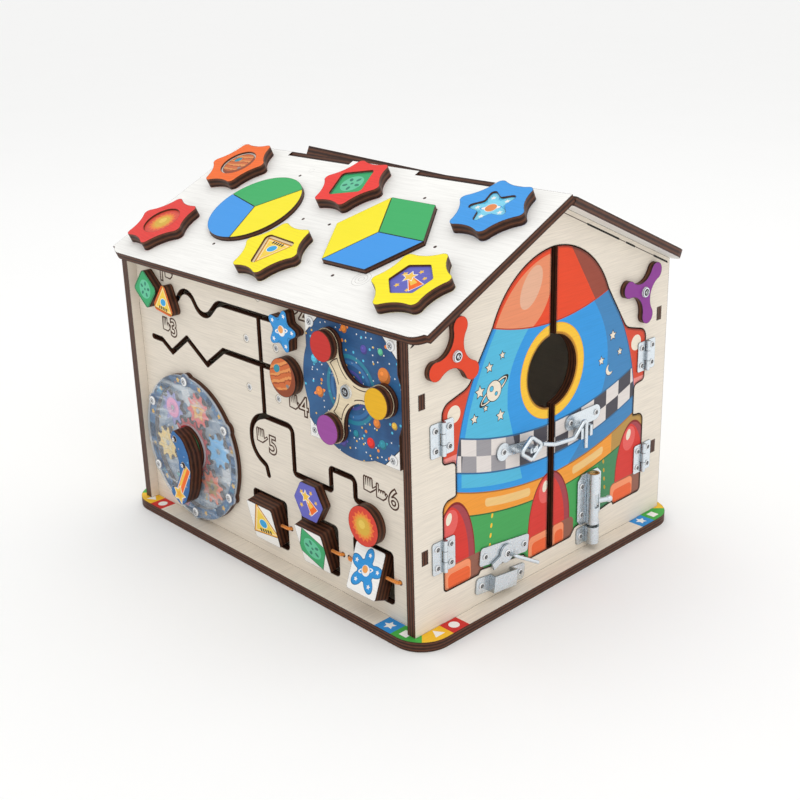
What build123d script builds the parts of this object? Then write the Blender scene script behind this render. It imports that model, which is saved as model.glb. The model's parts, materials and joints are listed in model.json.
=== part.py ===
from build123d import *
import os
from math import atan2, cos, degrees, hypot, radians, sin, tan

# A busy house for a small child: a plywood house with play pieces on its walls, roof and doors.
# Millimetres. +Z is up, the ridge runs along Y, the doors face -Y and the maze wall faces -X.
# The origin is the centre of the base's underside.

os.makedirs("parts", exist_ok=True)

# ---------------------------------------------------------------- boards
gable_width = 300.0
house_depth = 354.0
shoulder_height = 224.6
apex_height = 295.0
base_ply = 8.0
gable_ply = 8.0
wall_ply = 6.0
roof_ply = 7.0
wall_inset = 8.5
base_side_margin = 8.0
base_end_margin = 14.7
base_corner_radius = 26.0
roof_overhang = 16.2
eave_corner_radius = 15.0
wall_tab_heights = (61.0, 180.0)
wall_tab_size = 11.0
foot_tab_length = 30.0
foot_tab_spread = 105.0
tab_fit = 0.1
ridge_tab_stretches = ((-120.0, -40.0), (40.0, 120.0))
ridge_fit = 0.3

# slope board: the two-ply panel on the second roof slope
slope_board_length = 150.0
slope_board_height = 105.0
slope_board_ply = 8.0
slope_board_corner = (104.5, 165.9)
slope_board_tilt = 16.0

# ---------------------------------------------------------------- doors and their hinges
door_middle = 1.0
doorway_nose = ((0.0, 263.0), (-37.7, 251.7), (-67.7, 216.7))
doorway_flank = ((-67.7, 216.7), (-93.2, 178.5), (-120.5, 171.0), (-120.5, 126.5), (-107.0, 125.0),
                 (-107.0, 99.0), (-120.8, 97.5), (-121.0, 25.0), (-83.0, 24.8), (-81.0, 28.0),
                 (-32.0, 21.9), (-26.5, 15.3), (0.0, 15.3))
doorway_flank_radii = (14.0, 10.0, 4.0, 4.0, 1.5, 8.0, 4.0, 1.5, 2.0, 3.0, 3.0)
door_split = 7.2
door_gap = 1.0
porthole_height = 165.8
porthole_radius = 28.8
hinge_heights = (56.3, 148.0)
hinge_width = 23.5
hinge_length = 25.8
hinge_leaf = 1.0
hinge_corner_radius = 2.0
knuckle_radius = 1.9
hinge_pin_radius = 0.9
knuckle_gap = 0.3
hinge_screw_across = 7.0
hinge_screw_along = 7.5
hinge_reach = 119.0

# ---------------------------------------------------------------- screws and pins
screw_head_radius = 2.6
screw_head_height = 1.3
screw_shank_radius = 1.2
screw_shank_length = 4.0
wall_screw_head_radius = 4.1
flush_screw_head_radius = 3.4
shank_fit = 0.05
running_fit = 0.08
rest_gap = 0.3

# ---------------------------------------------------------------- gate hook
hook_wire_radius = 1.75
hook_ring_centre = (-32.0, 114.6)
hook_ring_half_width = 12.25
hook_ring_half_height = 9.25
hook_depth = 8.0
hook_peg_length = 26.0
hook_peg_x = 34.0
hook_peg_top = 121.0
hook_bend_radius = 6.0
hook_tight_bend = 2.6
hook_sag_points = ((-5.0, 109.6), (19.0, 107.2))
staple_pad_centre = (-56.0, 117.5)
staple_pad_radius = 7.0
staple_thickness = 1.4
staple_width = 8.0
staple_post_width = 8.6
staple_post_height = 4.4
staple_post_corner = 1.2
staple_rivet_radius = 2.0
staple_rivet_height = 0.8
catch_centre = (39.0, 117.0)
catch_plate_length = 44.0
catch_plate_height = 13.0
catch_plate_thickness = 1.2
catch_screw_spread = 16.0
catch_rib_width = 3.2
catch_rib_rise = 8.0
catch_rib_length = 9.0
catch_rib_drop = 9.5
catch_bridge_rise = 1.6

# ---------------------------------------------------------------- barrel bolt
bolt_x = 49.6
bolt_plate_width = 30.2
bolt_plate_bottom = 22.0
bolt_plate_top = 67.0
bolt_plate_chamfer = 5.0
bolt_plate_thickness = 1.0
bolt_rod_radius = 3.4
bolt_barrel_wall = 1.3
bolt_rod_top = 65.5
bolt_rod_bottom = 22.6
bolt_arm_height = 41.0
bolt_arm_radius = 2.2
bolt_arm_reach = 15.0
bolt_arm_angle = 22.0
bolt_travel_down = 8.0
bolt_travel_up = 10.0
bolt_window_height = 12.0
bolt_screw_offset = 10.6
bolt_screw_heights = (32.0, 57.0)
keeper_bottom = 5.0
keeper_top = 20.0
keeper_screw_height = 12.5
keeper_bore_room = 0.8

# ---------------------------------------------------------------- turn latch
latch_centre = (-54.0, 35.5)
latch_tilt = -7.4
latch_plate_length = 56.0
latch_plate_height = 15.0
latch_thickness = 1.2
latch_corner_radius = 3.0
latch_screw_spread = 22.4
latch_pivot = (-53.0, 33.0)
latch_rotor_radius = 7.5
latch_rotor_thickness = 1.6
latch_tongue_length = 17.0
latch_tongue_width = 6.0
latch_tongue_angle = -160.0
latch_lever_reach = 28.0
latch_lever_angle = -29.0
latch_lever_wire = 1.5
latch_lever_rise = 6.0
latch_pin_radius = 2.0
latch_keeper_centre = (-58.5, 12.6)
latch_keeper_length = 56.0
latch_keeper_height = 13.5
latch_keeper_screw_spread = 22.4
latch_arch_length = 26.0
latch_arch_rise = 6.6

# ---------------------------------------------------------------- turning knobs beside the doors
knob_ply = 4.5
knob_lobe_distance = 21.0
knob_lobe_radius = 7.0
knob_waist = 8.5
orange_knob_x = -108.6
orange_knob_drop = 17.9
orange_knob_turn = 78.0
purple_knob_x = 110.2
purple_knob_drop = 19.6
purple_knob_turn = 44.0
knob_pin_radius = 2.0

# ---------------------------------------------------------------- maze wall
slot_width = 4.8
slider_ply = 8.0
slider_stem_radius = 2.1
slider_button_radius = 7.0
slider_button_ply = 3.0
slider_gap = 0.4
rocket_slider_climb = 6.7
rhombus_slider_travel = 4.8
rhombus_slider_reach = 17.8
rocket_slider_reach = 19.0
star_slider_radius = 21.0
star_slider_shift = (0.9, -2.2)
star_slider_turn = 75.0
planet_slider_radius = 15.5
comet_slider_reach = 17.3
sun_slider_radius = 16.0
star_waist_share = 0.48

# slots, as places along the wall; the two upper ones are given by their drop below the wall's top
wave_slot_drop = 21.1
wave_slot_points = ((-149.0, -3.7), (-138.0, -3.9), (-124.0, -12.6), (-108.3, -7.6), (-94.9, 9.5), (-72.7, -21.0),
                    (-50.9, 0.0), (50.0, 0.0))
wave_slot_radii = (12.0, 6.0, 8.0, 12.6, 13.4, 14.0)
zigzag_slot_drop = 60.8
zigzag_slot_points = ((-151.0, -9.3), (-137.5, -9.5), (-123.3, -17.8), (-99.0, -0.3), (-72.0, -17.5), (-47.5, 0.0),
                      (45.0, 0.0))
riser_slot_u = 2.5
riser_slot_foot = 124.5
hook_slot_points = ((2.5, 124.5), (-17.0, 117.6), (-17.0, 89.2), (0.5, 80.8), (2.6, 73.0))
hook_slot_radii = (20.0, 20.0, 4.0)
step_slot_points = ((2.5, 124.2), (36.8, 124.2), (36.8, 84.7), (80.7, 84.7), (80.7, 102.7), (108.0, 102.7),
                    (108.0, 85.2), (124.5, 85.2))
step_slot_radii = (6.0, 2.5, 2.5, 2.5, 5.0, 2.5)
sun_slot_points = ((124.5, 85.2), (124.5, 71.6))
drop_slot_points = ((62.0, 84.7), (62.0, 70.6))
star_slider_u = 40.5
planet_slider_u = 39.2
comet_slider_place = (62.0, 71.2)
sun_slider_place = (124.5, 72.2)
window_size = 44.0
window_corner_radius = 4.0
window_sill = 11.5
window_lefts = (-20.0, 42.0, 103.4)
wall_screw_drops = ((3.0, 6.1), (-15.3, 43.3), (22.2, 43.3), (-15.7, 84.3), (21.6, 84.9))

# turning tiles on the elastic cord
tile_width = 32.0
tile_height = 37.0
tile_thickness = 14.0
tile_corner_radius = 2.0
tile_height_above_base = 33.5
tile_tilts = (12.0, 14.0, -20.0)
cord_radius = 1.35
cord_above_wall = 0.4
cord_bend_radius = 3.0
cord_hole_radius = 2.0
cord_hole_margins = ((5.0, 4.0), (5.0, 5.0), (5.4, 6.6))
cord_knot_radius = 2.7
cord_tail = 4.5

# ---------------------------------------------------------------- spinner
spinner_u = 112.8
spinner_drop = 53.5
spinner_plate_half = 48.5
spinner_plate_circle = 53.5
spinner_plate_ply = 4.0
spinner_plate_drop = 2.6
spinner_screw_offset = 42.5
spinner_arm_ply = 4.0
spinner_arm_radius = 36.6
spinner_end_radius = 12.4
spinner_waist = 11.0
spinner_disc_radius = 11.5
spinner_disc_ply = 6.0
spinner_turn = 2.5
spinner_pin_radius = 2.5

# ---------------------------------------------------------------- gear box
gear_centre = (-100.6, 68.6)
gear_ring_radius = 65.5
gear_ring_inner_radius = 56.5
gear_ring_ply = 4.0
gear_lobe_radius = 6.6
gear_screw_circle = 61.2
gear_cover_sheet = 2.0
gear_cover_hole_radius = 20.8
gear_module = 3.17
drive_teeth = 16
small_teeth = 9
tooth_addendum = 1.6
tooth_dedendum = 2.7
tooth_root_half = 2.55
tooth_tip_half = 1.15
gear_side_gap = 0.4
gear_hub_radius = 19.0
gear_hub_face = 8.2
drive_turn = 5.0
small_gear_angles = (130.0, 70.0, 10.0, -50.0, -110.0, 190.0)
small_gear_names = ("purple_gear", "coral_gear", "blue_gear", "orange_gear", "teal_gear", "yellow_gear")
gear_pin_radius = 2.5
crank_ply = 12.6
crank_outline = ((-1.4, 21), (11.5, 15.5), (19, 3), (20, -13), (15.5, -32), (9, -44), (1.5, -49), (-12, -42),
                 (-12, -35.5), (-3.3, -32.6), (3.4, -19), (3.4, -6.6), (0.5, 6), (-7, 13.5))
crank_corner_radii = (3.0, 14.0, 18.0, 25.0, 30.0, 12.0, 5.0, 2.5, 2.5, 2.5, 2.5, 2.5, 2.5, 2.5)
crank_screw_places = ((0.0, 13.0), (10.0, -8.5))

# ---------------------------------------------------------------- roof play pieces
block_thickness = 8.4
block_tip_distance = 27.2
block_tip_radius = 4.8
block_waist = 25.8
block_recess_depth = 1.5
block_pin_radius = 3.0
block_pin_rise = 3.6
block_pin_clearance = 0.5
block_places = {
    "orange_block": (-152.3, 132.4, 5.0),
    "red_block": (-0.8, 132.0, -2.0),
    "blue_block": (148.9, 132.6, -6.0),
    "scarlet_block": (-156.6, 41.5, -11.0),
    "amber_block": (-4.4, 41.2, -5.0),
    "yellow_block": (147.3, 43.5, 16.0),
}
circle_puzzle_centre = (-79.5, 86.5)
circle_puzzle_radius = 43.0
circle_puzzle_turn = 47.0
hexagon_puzzle_centre = (71.5, 87.0)
hexagon_puzzle_radius = 47.5
puzzle_ply = 7.0
puzzle_seat_depth = 3.0
puzzle_gap = 0.3

# ---------------------------------------------------------------- values that follow from those
half_width = gable_width / 2
half_depth = house_depth / 2
roof_rise = apex_height - shoulder_height
pitch = degrees(atan2(roof_rise, half_width))
slope_length = hypot(half_width, roof_rise)
ridge_reach = slope_length + roof_ply * tan(radians(pitch))
ridge_setback = roof_ply * sin(radians(2 * pitch))
roof_half_length = half_depth + roof_overhang
wall_half_length = half_depth - gable_ply
wall_top = shoulder_height + wall_inset * tan(radians(pitch))
knuckle_depth = knuckle_radius + rest_gap
wave_slot_level = wall_top - wave_slot_drop
zigzag_slot_level = wall_top - zigzag_slot_drop
wall_screw_places = [(u, wall_top - drop) for u, drop in wall_screw_drops]
spinner_centre = (spinner_u, wall_top - spinner_drop)
spinner_plate_top = wall_top - spinner_plate_drop
orange_knob_place = (orange_knob_x, shoulder_height - orange_knob_drop)
purple_knob_place = (purple_knob_x, shoulder_height - purple_knob_drop)
pitch_radius_drive = gear_module * drive_teeth / 2
pitch_radius_small = gear_module * small_teeth / 2
gear_distance = pitch_radius_drive + pitch_radius_small

gable_face = Plane(origin=(0, -half_depth, base_ply), x_dir=(1, 0, 0), z_dir=(0, -1, 0)).location
back_face = Plane(origin=(0, half_depth, base_ply), x_dir=(-1, 0, 0), z_dir=(0, 1, 0)).location
maze_face = Plane(origin=(wall_inset - half_width, 0, base_ply), x_dir=(0, -1, 0), z_dir=(-1, 0, 0)).location
right_face = Plane(origin=(half_width - wall_inset, 0, base_ply), x_dir=(0, 1, 0), z_dir=(1, 0, 0)).location
left_slope = Plane(
    origin=(-half_width, 0, base_ply + shoulder_height),
    x_dir=(0, -1, 0),
    z_dir=(-sin(radians(pitch)), 0, cos(radians(pitch))),
).location
right_slope = Plane(
    origin=(half_width, 0, base_ply + shoulder_height),
    x_dir=(0, 1, 0),
    z_dir=(sin(radians(pitch)), 0, cos(radians(pitch))),
).location


# ---------------------------------------------------------------- small helpers
def prism(face, low, high):
    """A flat outline raised from depth low to depth high along +Z of its own plane."""
    return extrude(Pos(0, 0, low) * face, amount=high - low, dir=(0, 0, 1))


def polar(radius, angle):
    return (radius * cos(radians(angle)), radius * sin(radians(angle)))


def rod(radius, low, high, place=(0.0, 0.0)):
    return prism(Pos(*place) * Circle(radius), low, high)


def lobed(count, distance, lobe_radius, waist, turn):
    """Round lobes joined by concave sides that touch them."""
    step = 360 / count
    slack = lobe_radius - waist
    reach = (distance**2 - slack**2) / (2 * distance * cos(radians(step / 2)) + 2 * slack)
    outline = None
    for k in range(count):
        lobe = polar(distance, turn + step * k)
        following = polar(distance, turn + step * (k + 1))
        side = polar(reach, turn + step * (k + 0.5))
        kite = Polygon((0, 0), lobe, side, following, align=None) - Pos(*side) * Circle(reach - waist)
        part = kite + Pos(*lobe) * Circle(lobe_radius)
        outline = part if outline is None else outline + part
    return outline


def star_outline(radius, waist, turn, corner):
    points = [polar(radius if k % 2 == 0 else waist, turn + 36 * k) for k in range(10)]
    return make_face(FilletPolyline(*points, radius=corner, close=True))


def regular_outline(radius, sides, turn, corner):
    points = [polar(radius, turn + 360 * k / sides) for k in range(sides)]
    return make_face(FilletPolyline(*points, radius=corner, close=True))


def screw(head_radius, seat, place):
    """A screw whose head sits on the depth seat, with its shank going down."""
    head = Pos(place[0], place[1], seat + screw_head_height / 2) * Cone(
        head_radius, head_radius * 0.72, screw_head_height
    )
    return head + rod(screw_shank_radius, seat - screw_shank_length, seat, place)


def screw_hole(seat, place):
    return rod(screw_shank_radius + shank_fit, seat - screw_shank_length - shank_fit, seat + 1, place)


def pivot_pin(radius, low, high, head_radius, head_height, place):
    return rod(radius, low, high, place) + rod(head_radius, high, high + head_height, place)


def group(solids):
    return Compound(children=list(solids))


pieces = {}


# ---------------------------------------------------------------- the doorway and the doors
def doorway():
    """The rocket-shaped opening, worked from one half and mirrored about its middle."""
    nose = ThreePointArc(*doorway_nose)
    flank = FilletPolyline(*doorway_flank, radius=list(doorway_flank_radii))
    middle = Line(doorway_flank[-1], doorway_nose[0])
    half = make_face(Curve() + [nose, flank, middle])
    return Pos(door_middle, 0, 0) * (half + mirror(half, about=Plane.YZ))


opening = doorway()
porthole = Pos(door_middle, porthole_height) * Circle(porthole_radius)
door_pair = offset(opening, amount=-door_gap) - porthole


def half_plane(side):
    near = door_middle + side * door_split / 2
    return Pos(near + side * half_width / 2, apex_height / 2) * Rectangle(half_width, apex_height)


hook_screws = [staple_pad_centre]
catch_screws = [(catch_centre[0] + s * catch_screw_spread, catch_centre[1]) for s in (-1, 1)]
bolt_screws = [(bolt_x + s * bolt_screw_offset, z) for s in (-1, 1) for z in bolt_screw_heights]
bolt_keeper_screws = [(bolt_x + s * bolt_screw_offset, keeper_screw_height) for s in (-1, 1)]


def along(centre, tilt, distance):
    return (centre[0] + distance * cos(radians(tilt)), centre[1] + distance * sin(radians(tilt)))


latch_screws = [along(latch_centre, latch_tilt, s * latch_screw_spread) for s in (-1, 1)]
latch_keeper_screws = [
    along(latch_keeper_centre, latch_tilt, s * latch_keeper_screw_spread) for s in (-1, 1)
]


def hinge_screws(axis_x, side):
    """Screw places of one hinge's leaf; side -1 lies left of the axis, +1 right of it."""
    return [
        (axis_x + side * hinge_screw_across, z + s * hinge_screw_along) for z in hinge_heights for s in (-1, 1)
    ]


left_axis = door_middle - hinge_reach - 2.0
right_axis = door_middle + hinge_reach + 2.0
plate_seat = bolt_plate_thickness + rest_gap
left_door_places = (
    [(p, hinge_leaf) for p in hinge_screws(left_axis, 1)]
    + [(p, staple_thickness) for p in hook_screws]
    + [(p, latch_thickness) for p in latch_screws]
)
right_door_places = (
    [(p, hinge_leaf) for p in hinge_screws(right_axis, -1)]
    + [(p, catch_plate_thickness) for p in catch_screws]
    + [(p, plate_seat) for p in bolt_screws]
)
gable_places = (
    [(p, hinge_leaf) for p in hinge_screws(left_axis, -1) + hinge_screws(right_axis, 1)]
    + [(p, bolt_plate_thickness) for p in bolt_keeper_screws]
    + [(p, latch_thickness) for p in latch_keeper_screws]
)


def cut_screw_holes(solid, places):
    for place, seat in places:
        solid = solid - screw_hole(seat, place)
    return solid


def screws_at(places, head_radius=screw_head_radius):
    return [screw(head_radius, seat, place) for place, seat in places]


left_door = prism(door_pair & half_plane(-1), -gable_ply, 0)
left_door = cut_screw_holes(left_door, left_door_places)
left_door -= rod(latch_pin_radius + shank_fit, -gable_ply, 0, latch_pivot)
pieces["left_door"] = gable_face * left_door
right_door = prism(door_pair & half_plane(1), -gable_ply, 0)
pieces["right_door"] = gable_face * cut_screw_holes(right_door, right_door_places)
pieces["left_door_screws"] = gable_face * group(screws_at(left_door_places))
pieces["right_door_screws"] = gable_face * group(screws_at(right_door_places))


# ---------------------------------------------------------------- base, gables and walls
def foot_slots():
    """Slots in the base for the tabs under the gables and the walls."""
    gable_y = half_depth - gable_ply / 2
    wall_x = half_width - wall_inset - wall_ply / 2
    slots = Sketch()
    for sx in (-1, 1):
        for sy in (-1, 1):
            across = Rectangle(foot_tab_length + 2 * tab_fit, gable_ply + 2 * tab_fit)
            lengthways = Rectangle(wall_ply + 2 * tab_fit, foot_tab_length + 2 * tab_fit)
            slots += Pos(sx * foot_tab_spread, sy * gable_y) * across
            slots += Pos(sx * wall_x, sy * foot_tab_spread) * lengthways
    return slots


base_width = gable_width + 2 * base_side_margin
base_length = house_depth + 2 * base_end_margin
base_outline = RectangleRounded(base_width, base_length, base_corner_radius)
pieces["base_board"] = prism(base_outline - foot_slots(), 0, base_ply)


def gable_outline():
    outline = Polygon(
        (-half_width, 0), (half_width, 0), (half_width, shoulder_height), (0, apex_height),
        (-half_width, shoulder_height), align=None,
    )
    for s in (-1, 1):
        tab = Rectangle(foot_tab_length, base_ply, align=(Align.CENTER, Align.MAX))
        outline += Pos(s * foot_tab_spread, 0) * tab
        for z in wall_tab_heights:
            slot = Rectangle(wall_ply + 2 * tab_fit, wall_tab_size + 2 * tab_fit)
            outline -= Pos(s * (half_width - wall_inset - wall_ply / 2), z) * slot
    return outline


front_gable = prism(gable_outline() - opening, -gable_ply, 0)
front_gable = cut_screw_holes(front_gable, gable_places)
for knob_place in (orange_knob_place, purple_knob_place):
    front_gable -= rod(knob_pin_radius + shank_fit, -gable_ply, 0, knob_place)
pieces["front_gable"] = gable_face * front_gable
pieces["back_gable"] = back_face * prism(gable_outline(), -gable_ply, 0)


def wall_outline():
    outline = Pos(0, wall_top / 2) * Rectangle(2 * wall_half_length, wall_top)
    for s in (-1, 1):
        tab = Rectangle(foot_tab_length, base_ply, align=(Align.CENTER, Align.MAX))
        outline += Pos(s * foot_tab_spread, 0) * tab
        for z in wall_tab_heights:
            outline += Pos(s * (wall_half_length + gable_ply / 2), z) * Rectangle(gable_ply, wall_tab_size)
    return outline


pieces["right_wall"] = right_face * prism(wall_outline(), -wall_ply, 0)


# ---------------------------------------------------------------- maze slots and windows
def slot_path(path):
    return make_face(offset(path, amount=slot_width / 2, side=Side.BOTH))


def at_level(points, level):
    return [(u, level + rise) for u, rise in points]


wave_points = at_level(wave_slot_points, wave_slot_level)
wave_end, wave_trough, wave_knee = wave_points[0], wave_points[2], wave_points[3]


def maze_slots():
    wave = FilletPolyline(*wave_points, radius=list(wave_slot_radii))
    zigzag = Polyline(*at_level(zigzag_slot_points, zigzag_slot_level))
    riser = Polyline((riser_slot_u, wave_slot_level), (riser_slot_u, riser_slot_foot))
    hook = FilletPolyline(*hook_slot_points, radius=list(hook_slot_radii))
    steps = FilletPolyline(*step_slot_points, radius=list(step_slot_radii))
    drop = Polyline(*drop_slot_points)
    sun = Polyline(*sun_slot_points)
    return [slot_path(path) for path in (wave, zigzag, riser, hook, steps, drop, sun)]


windows = []
cord_holes = []
for left, margins in zip(window_lefts, cord_hole_margins):
    centre = (left + window_size / 2, window_sill + window_size / 2)
    windows.append(Pos(*centre) * RectangleRounded(window_size, window_size, window_corner_radius))
    cord_holes.append(left - margins[0])
    cord_holes.append(left + window_size + margins[1])

gear_axles = [gear_centre] + [
    (gear_centre[0] + polar(gear_distance, a)[0], gear_centre[1] + polar(gear_distance, a)[1])
    for a in small_gear_angles
]
ring_screws = [
    (gear_centre[0] + polar(gear_screw_circle, 30 + 60 * k)[0],
     gear_centre[1] + polar(gear_screw_circle, 30 + 60 * k)[1])
    for k in range(6)
]
spinner_screws = [
    (spinner_centre[0] + a * spinner_screw_offset, spinner_centre[1] + b * spinner_screw_offset)
    for a in (-1, 1) for b in (-1, 1)
]
cover_face_depth = gear_ring_ply + gear_cover_sheet
maze_screw_places = (
    [(p, cover_face_depth) for p in ring_screws]
    + [(p, spinner_plate_ply) for p in spinner_screws]
)


def through_hole(place):
    return Pos(*place) * Circle(screw_shank_radius + shank_fit)


def flush_screw(place):
    """A countersunk screw, its head level with the wall's face."""
    head = Pos(place[0], place[1], -screw_head_height / 2) * Cone(
        screw_shank_radius, flush_screw_head_radius, screw_head_height
    )
    return head + rod(screw_shank_radius, -screw_shank_length, 0, place)


def countersink(place):
    return Pos(place[0], place[1], -screw_head_height / 2) * Cone(
        screw_shank_radius + shank_fit, flush_screw_head_radius + shank_fit, screw_head_height
    )


def long_screw(place, seat):
    """A screw that reaches the wall through whatever lies under its head."""
    head = Pos(place[0], place[1], seat + screw_head_height / 2) * Cone(
        wall_screw_head_radius, wall_screw_head_radius * 0.72, screw_head_height
    )
    return head + rod(screw_shank_radius, -screw_shank_length, seat, place)


wall_face = wall_outline()
for cut in maze_slots() + windows:
    wall_face -= cut
for u in cord_holes:
    wall_face -= Pos(u, tile_height_above_base) * Circle(cord_hole_radius)
for place in [p for p, seat in maze_screw_places] + list(wall_screw_places):
    wall_face -= through_hole(place)
for axle in gear_axles:
    wall_face -= Pos(*axle) * Circle(gear_pin_radius + shank_fit)
wall_face -= Pos(*spinner_centre) * Circle(spinner_pin_radius + shank_fit)
maze_wall = prism(wall_face, -wall_ply, 0)
for place in wall_screw_places:
    maze_wall -= countersink(place)
pieces["maze_wall"] = maze_face * maze_wall


# ---------------------------------------------------------------- sliders
def slider(outline, place):
    """A play piece in front of the wall, its stem in the slot and its button behind."""
    front = prism(Pos(*place) * outline, slider_gap, slider_gap + slider_ply)
    stem = rod(slider_stem_radius, -wall_ply - slider_gap, slider_gap, place)
    back = -wall_ply - slider_gap
    button = rod(slider_button_radius, back - slider_button_ply, back, place)
    return maze_face * (front + stem + button)


wave_rise = degrees(atan2(wave_knee[1] - wave_trough[1], wave_knee[0] - wave_trough[0]))
rocket_place = (
    wave_trough[0] + polar(rocket_slider_climb, wave_rise)[0],
    wave_trough[1] + polar(rocket_slider_climb, wave_rise)[1],
)
rhombus_place = (wave_end[0] + rhombus_slider_travel, wave_end[1])
slider_star = star_outline(star_slider_radius, star_waist_share * star_slider_radius, star_slider_turn, 3.0)
slider_star = Pos(*star_slider_shift) * slider_star
pieces["rhombus_slider"] = slider(regular_outline(rhombus_slider_reach, 4, 5, 4.0), rhombus_place)
pieces["rocket_slider"] = slider(regular_outline(rocket_slider_reach, 3, 83, 4.0), rocket_place)
pieces["star_slider"] = slider(slider_star, (star_slider_u, wave_slot_level))
pieces["planet_slider"] = slider(Circle(planet_slider_radius), (planet_slider_u, zigzag_slot_level))
pieces["comet_slider"] = slider(regular_outline(comet_slider_reach, 6, 0, 2.0), comet_slider_place)
pieces["sun_slider"] = slider(Circle(sun_slider_radius), sun_slider_place)

# ---------------------------------------------------------------- tiles and elastic cord
cord_depth = cord_radius + cord_above_wall
cord_back_depth = -wall_ply - cord_depth


def cord_line():
    """The cord's centre line: over each window in front of the wall, and behind it between them."""
    knot_depth = -wall_ply - cord_knot_radius - rest_gap
    corners = [(cord_holes[0] - cord_tail, knot_depth)]
    for k, u in enumerate(cord_holes):
        first = cord_back_depth if k % 2 == 0 else cord_depth
        second = cord_depth if k % 2 == 0 else cord_back_depth
        corners += [(u, first), (u, second)]
    corners.append((cord_holes[-1] + cord_tail, knot_depth))
    points = [(u, tile_height_above_base, d) for u, d in corners]
    return FilletPolyline(*points, radius=cord_bend_radius)


cord_path = cord_line()
cord = sweep(Plane(origin=cord_path @ 0, z_dir=cord_path % 0) * Circle(cord_radius), path=cord_path)
for end in (cord_path @ 0, cord_path @ 1):
    cord += Pos(end.X, end.Y, end.Z) * Sphere(cord_knot_radius)
pieces["elastic_cord"] = maze_face * cord


def tile(outline, left, tilt):
    """A thick tile with a bore for the cord, turned about the cord by its resting tilt."""
    body = prism(outline, -tile_thickness / 2, tile_thickness / 2)
    bore = Rot(0, 90, 0) * Cylinder(cord_radius + running_fit, 3 * tile_width)
    place = Pos(left + window_size / 2, tile_height_above_base, cord_depth)
    return maze_face * place * Rot(tilt, 0, 0) * (body - bore)


tile_outline = RectangleRounded(tile_width, tile_height, tile_corner_radius)
for name, left, tilt in zip(("rocket_tile", "square_tile", "star_tile"), window_lefts, tile_tilts):
    pieces[name] = tile(tile_outline, left, tilt)

# ---------------------------------------------------------------- spinner
plate_outline = Rectangle(2 * spinner_plate_half, 2 * spinner_plate_half) + Circle(spinner_plate_circle)
plate_outline = Pos(*spinner_centre) * plate_outline
plate_outline -= Pos(spinner_centre[0], spinner_plate_top + 50) * Rectangle(4 * spinner_plate_circle, 100)
plate_outline &= Pos(0, wall_top / 2) * Rectangle(2 * wall_half_length, 2 * wall_top)
for place in spinner_screws + [spinner_centre]:
    hole = spinner_pin_radius if place == spinner_centre else screw_shank_radius
    plate_outline -= Pos(*place) * Circle(hole + shank_fit)
pieces["spinner_backplate"] = maze_face * prism(plate_outline, 0, spinner_plate_ply)

arms_low = spinner_plate_ply + rest_gap
arms_high = arms_low + spinner_arm_ply
arms = lobed(3, spinner_arm_radius, spinner_end_radius, spinner_waist, spinner_turn)
arms -= Circle(spinner_pin_radius + running_fit)
spinner = [maze_face * Pos(*spinner_centre) * prism(arms, arms_low, arms_high)]
for k in range(3):
    spot = polar(spinner_arm_radius, spinner_turn + 120 * k)
    disc = rod(spinner_disc_radius, arms_high, arms_high + spinner_disc_ply, spot)
    spinner.append(maze_face * Pos(*spinner_centre) * disc)
pieces["spinner"] = group(spinner)


# ---------------------------------------------------------------- gear box
def gear_face(teeth, turn):
    """A toy gear: straight-flanked teeth with plenty of backlash."""
    pitch_radius = gear_module * teeth / 2
    root = pitch_radius - tooth_dedendum
    tip = pitch_radius + tooth_addendum
    points = []
    for k in range(teeth):
        middle = turn + 360 * k / teeth
        root_turn = degrees(tooth_root_half / root)
        tip_turn = degrees(tooth_tip_half / tip)
        points += [polar(root, middle - root_turn), polar(tip, middle - tip_turn)]
        points += [polar(tip, middle + tip_turn), polar(root, middle + root_turn)]
    return make_face(Polyline(*points, close=True))


gear_low = gear_side_gap
gear_high = gear_ring_ply - gear_side_gap
at_gears = maze_face * Pos(*gear_centre)
ring_outline = Circle(gear_ring_radius)
for k in range(6):
    ring_outline += Pos(*polar(gear_screw_circle, 30 + 60 * k)) * Circle(gear_lobe_radius)
for k in range(6):
    ring_outline -= Pos(*polar(gear_screw_circle, 30 + 60 * k)) * Circle(screw_shank_radius + shank_fit)
pieces["gear_ring"] = at_gears * prism(ring_outline - Circle(gear_ring_inner_radius), 0, gear_ring_ply)
cover_outline = ring_outline - Circle(gear_cover_hole_radius)
pieces["gear_cover"] = at_gears * prism(cover_outline, gear_ring_ply, cover_face_depth)

drive = prism(gear_face(drive_teeth, drive_turn), gear_low, gear_high)
drive += rod(gear_hub_radius, gear_high, gear_hub_face)
drive -= rod(gear_pin_radius + running_fit, 0, gear_hub_face - 1.5)
crank_face = make_face(FilletPolyline(*crank_outline, radius=list(crank_corner_radii), close=True))
crank = prism(crank_face, gear_hub_face, gear_hub_face + crank_ply)
crank_places = [(p, gear_hub_face + crank_ply) for p in crank_screw_places]
crank = cut_screw_holes(crank, crank_places)
pieces["drive_gear"] = at_gears * drive
pieces["comet_crank"] = group([at_gears * crank] + [at_gears * s for s in screws_at(crank_places)])

gear_ratio = drive_teeth / small_teeth
for name, angle in zip(small_gear_names, small_gear_angles):
    turn = angle + 180 + (angle - drive_turn) * gear_ratio + 180 / small_teeth
    small = prism(gear_face(small_teeth, turn), gear_low, gear_high)
    small -= rod(gear_pin_radius + running_fit, 0, gear_ring_ply)
    pieces[name] = at_gears * Pos(*polar(gear_distance, angle)) * small


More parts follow.
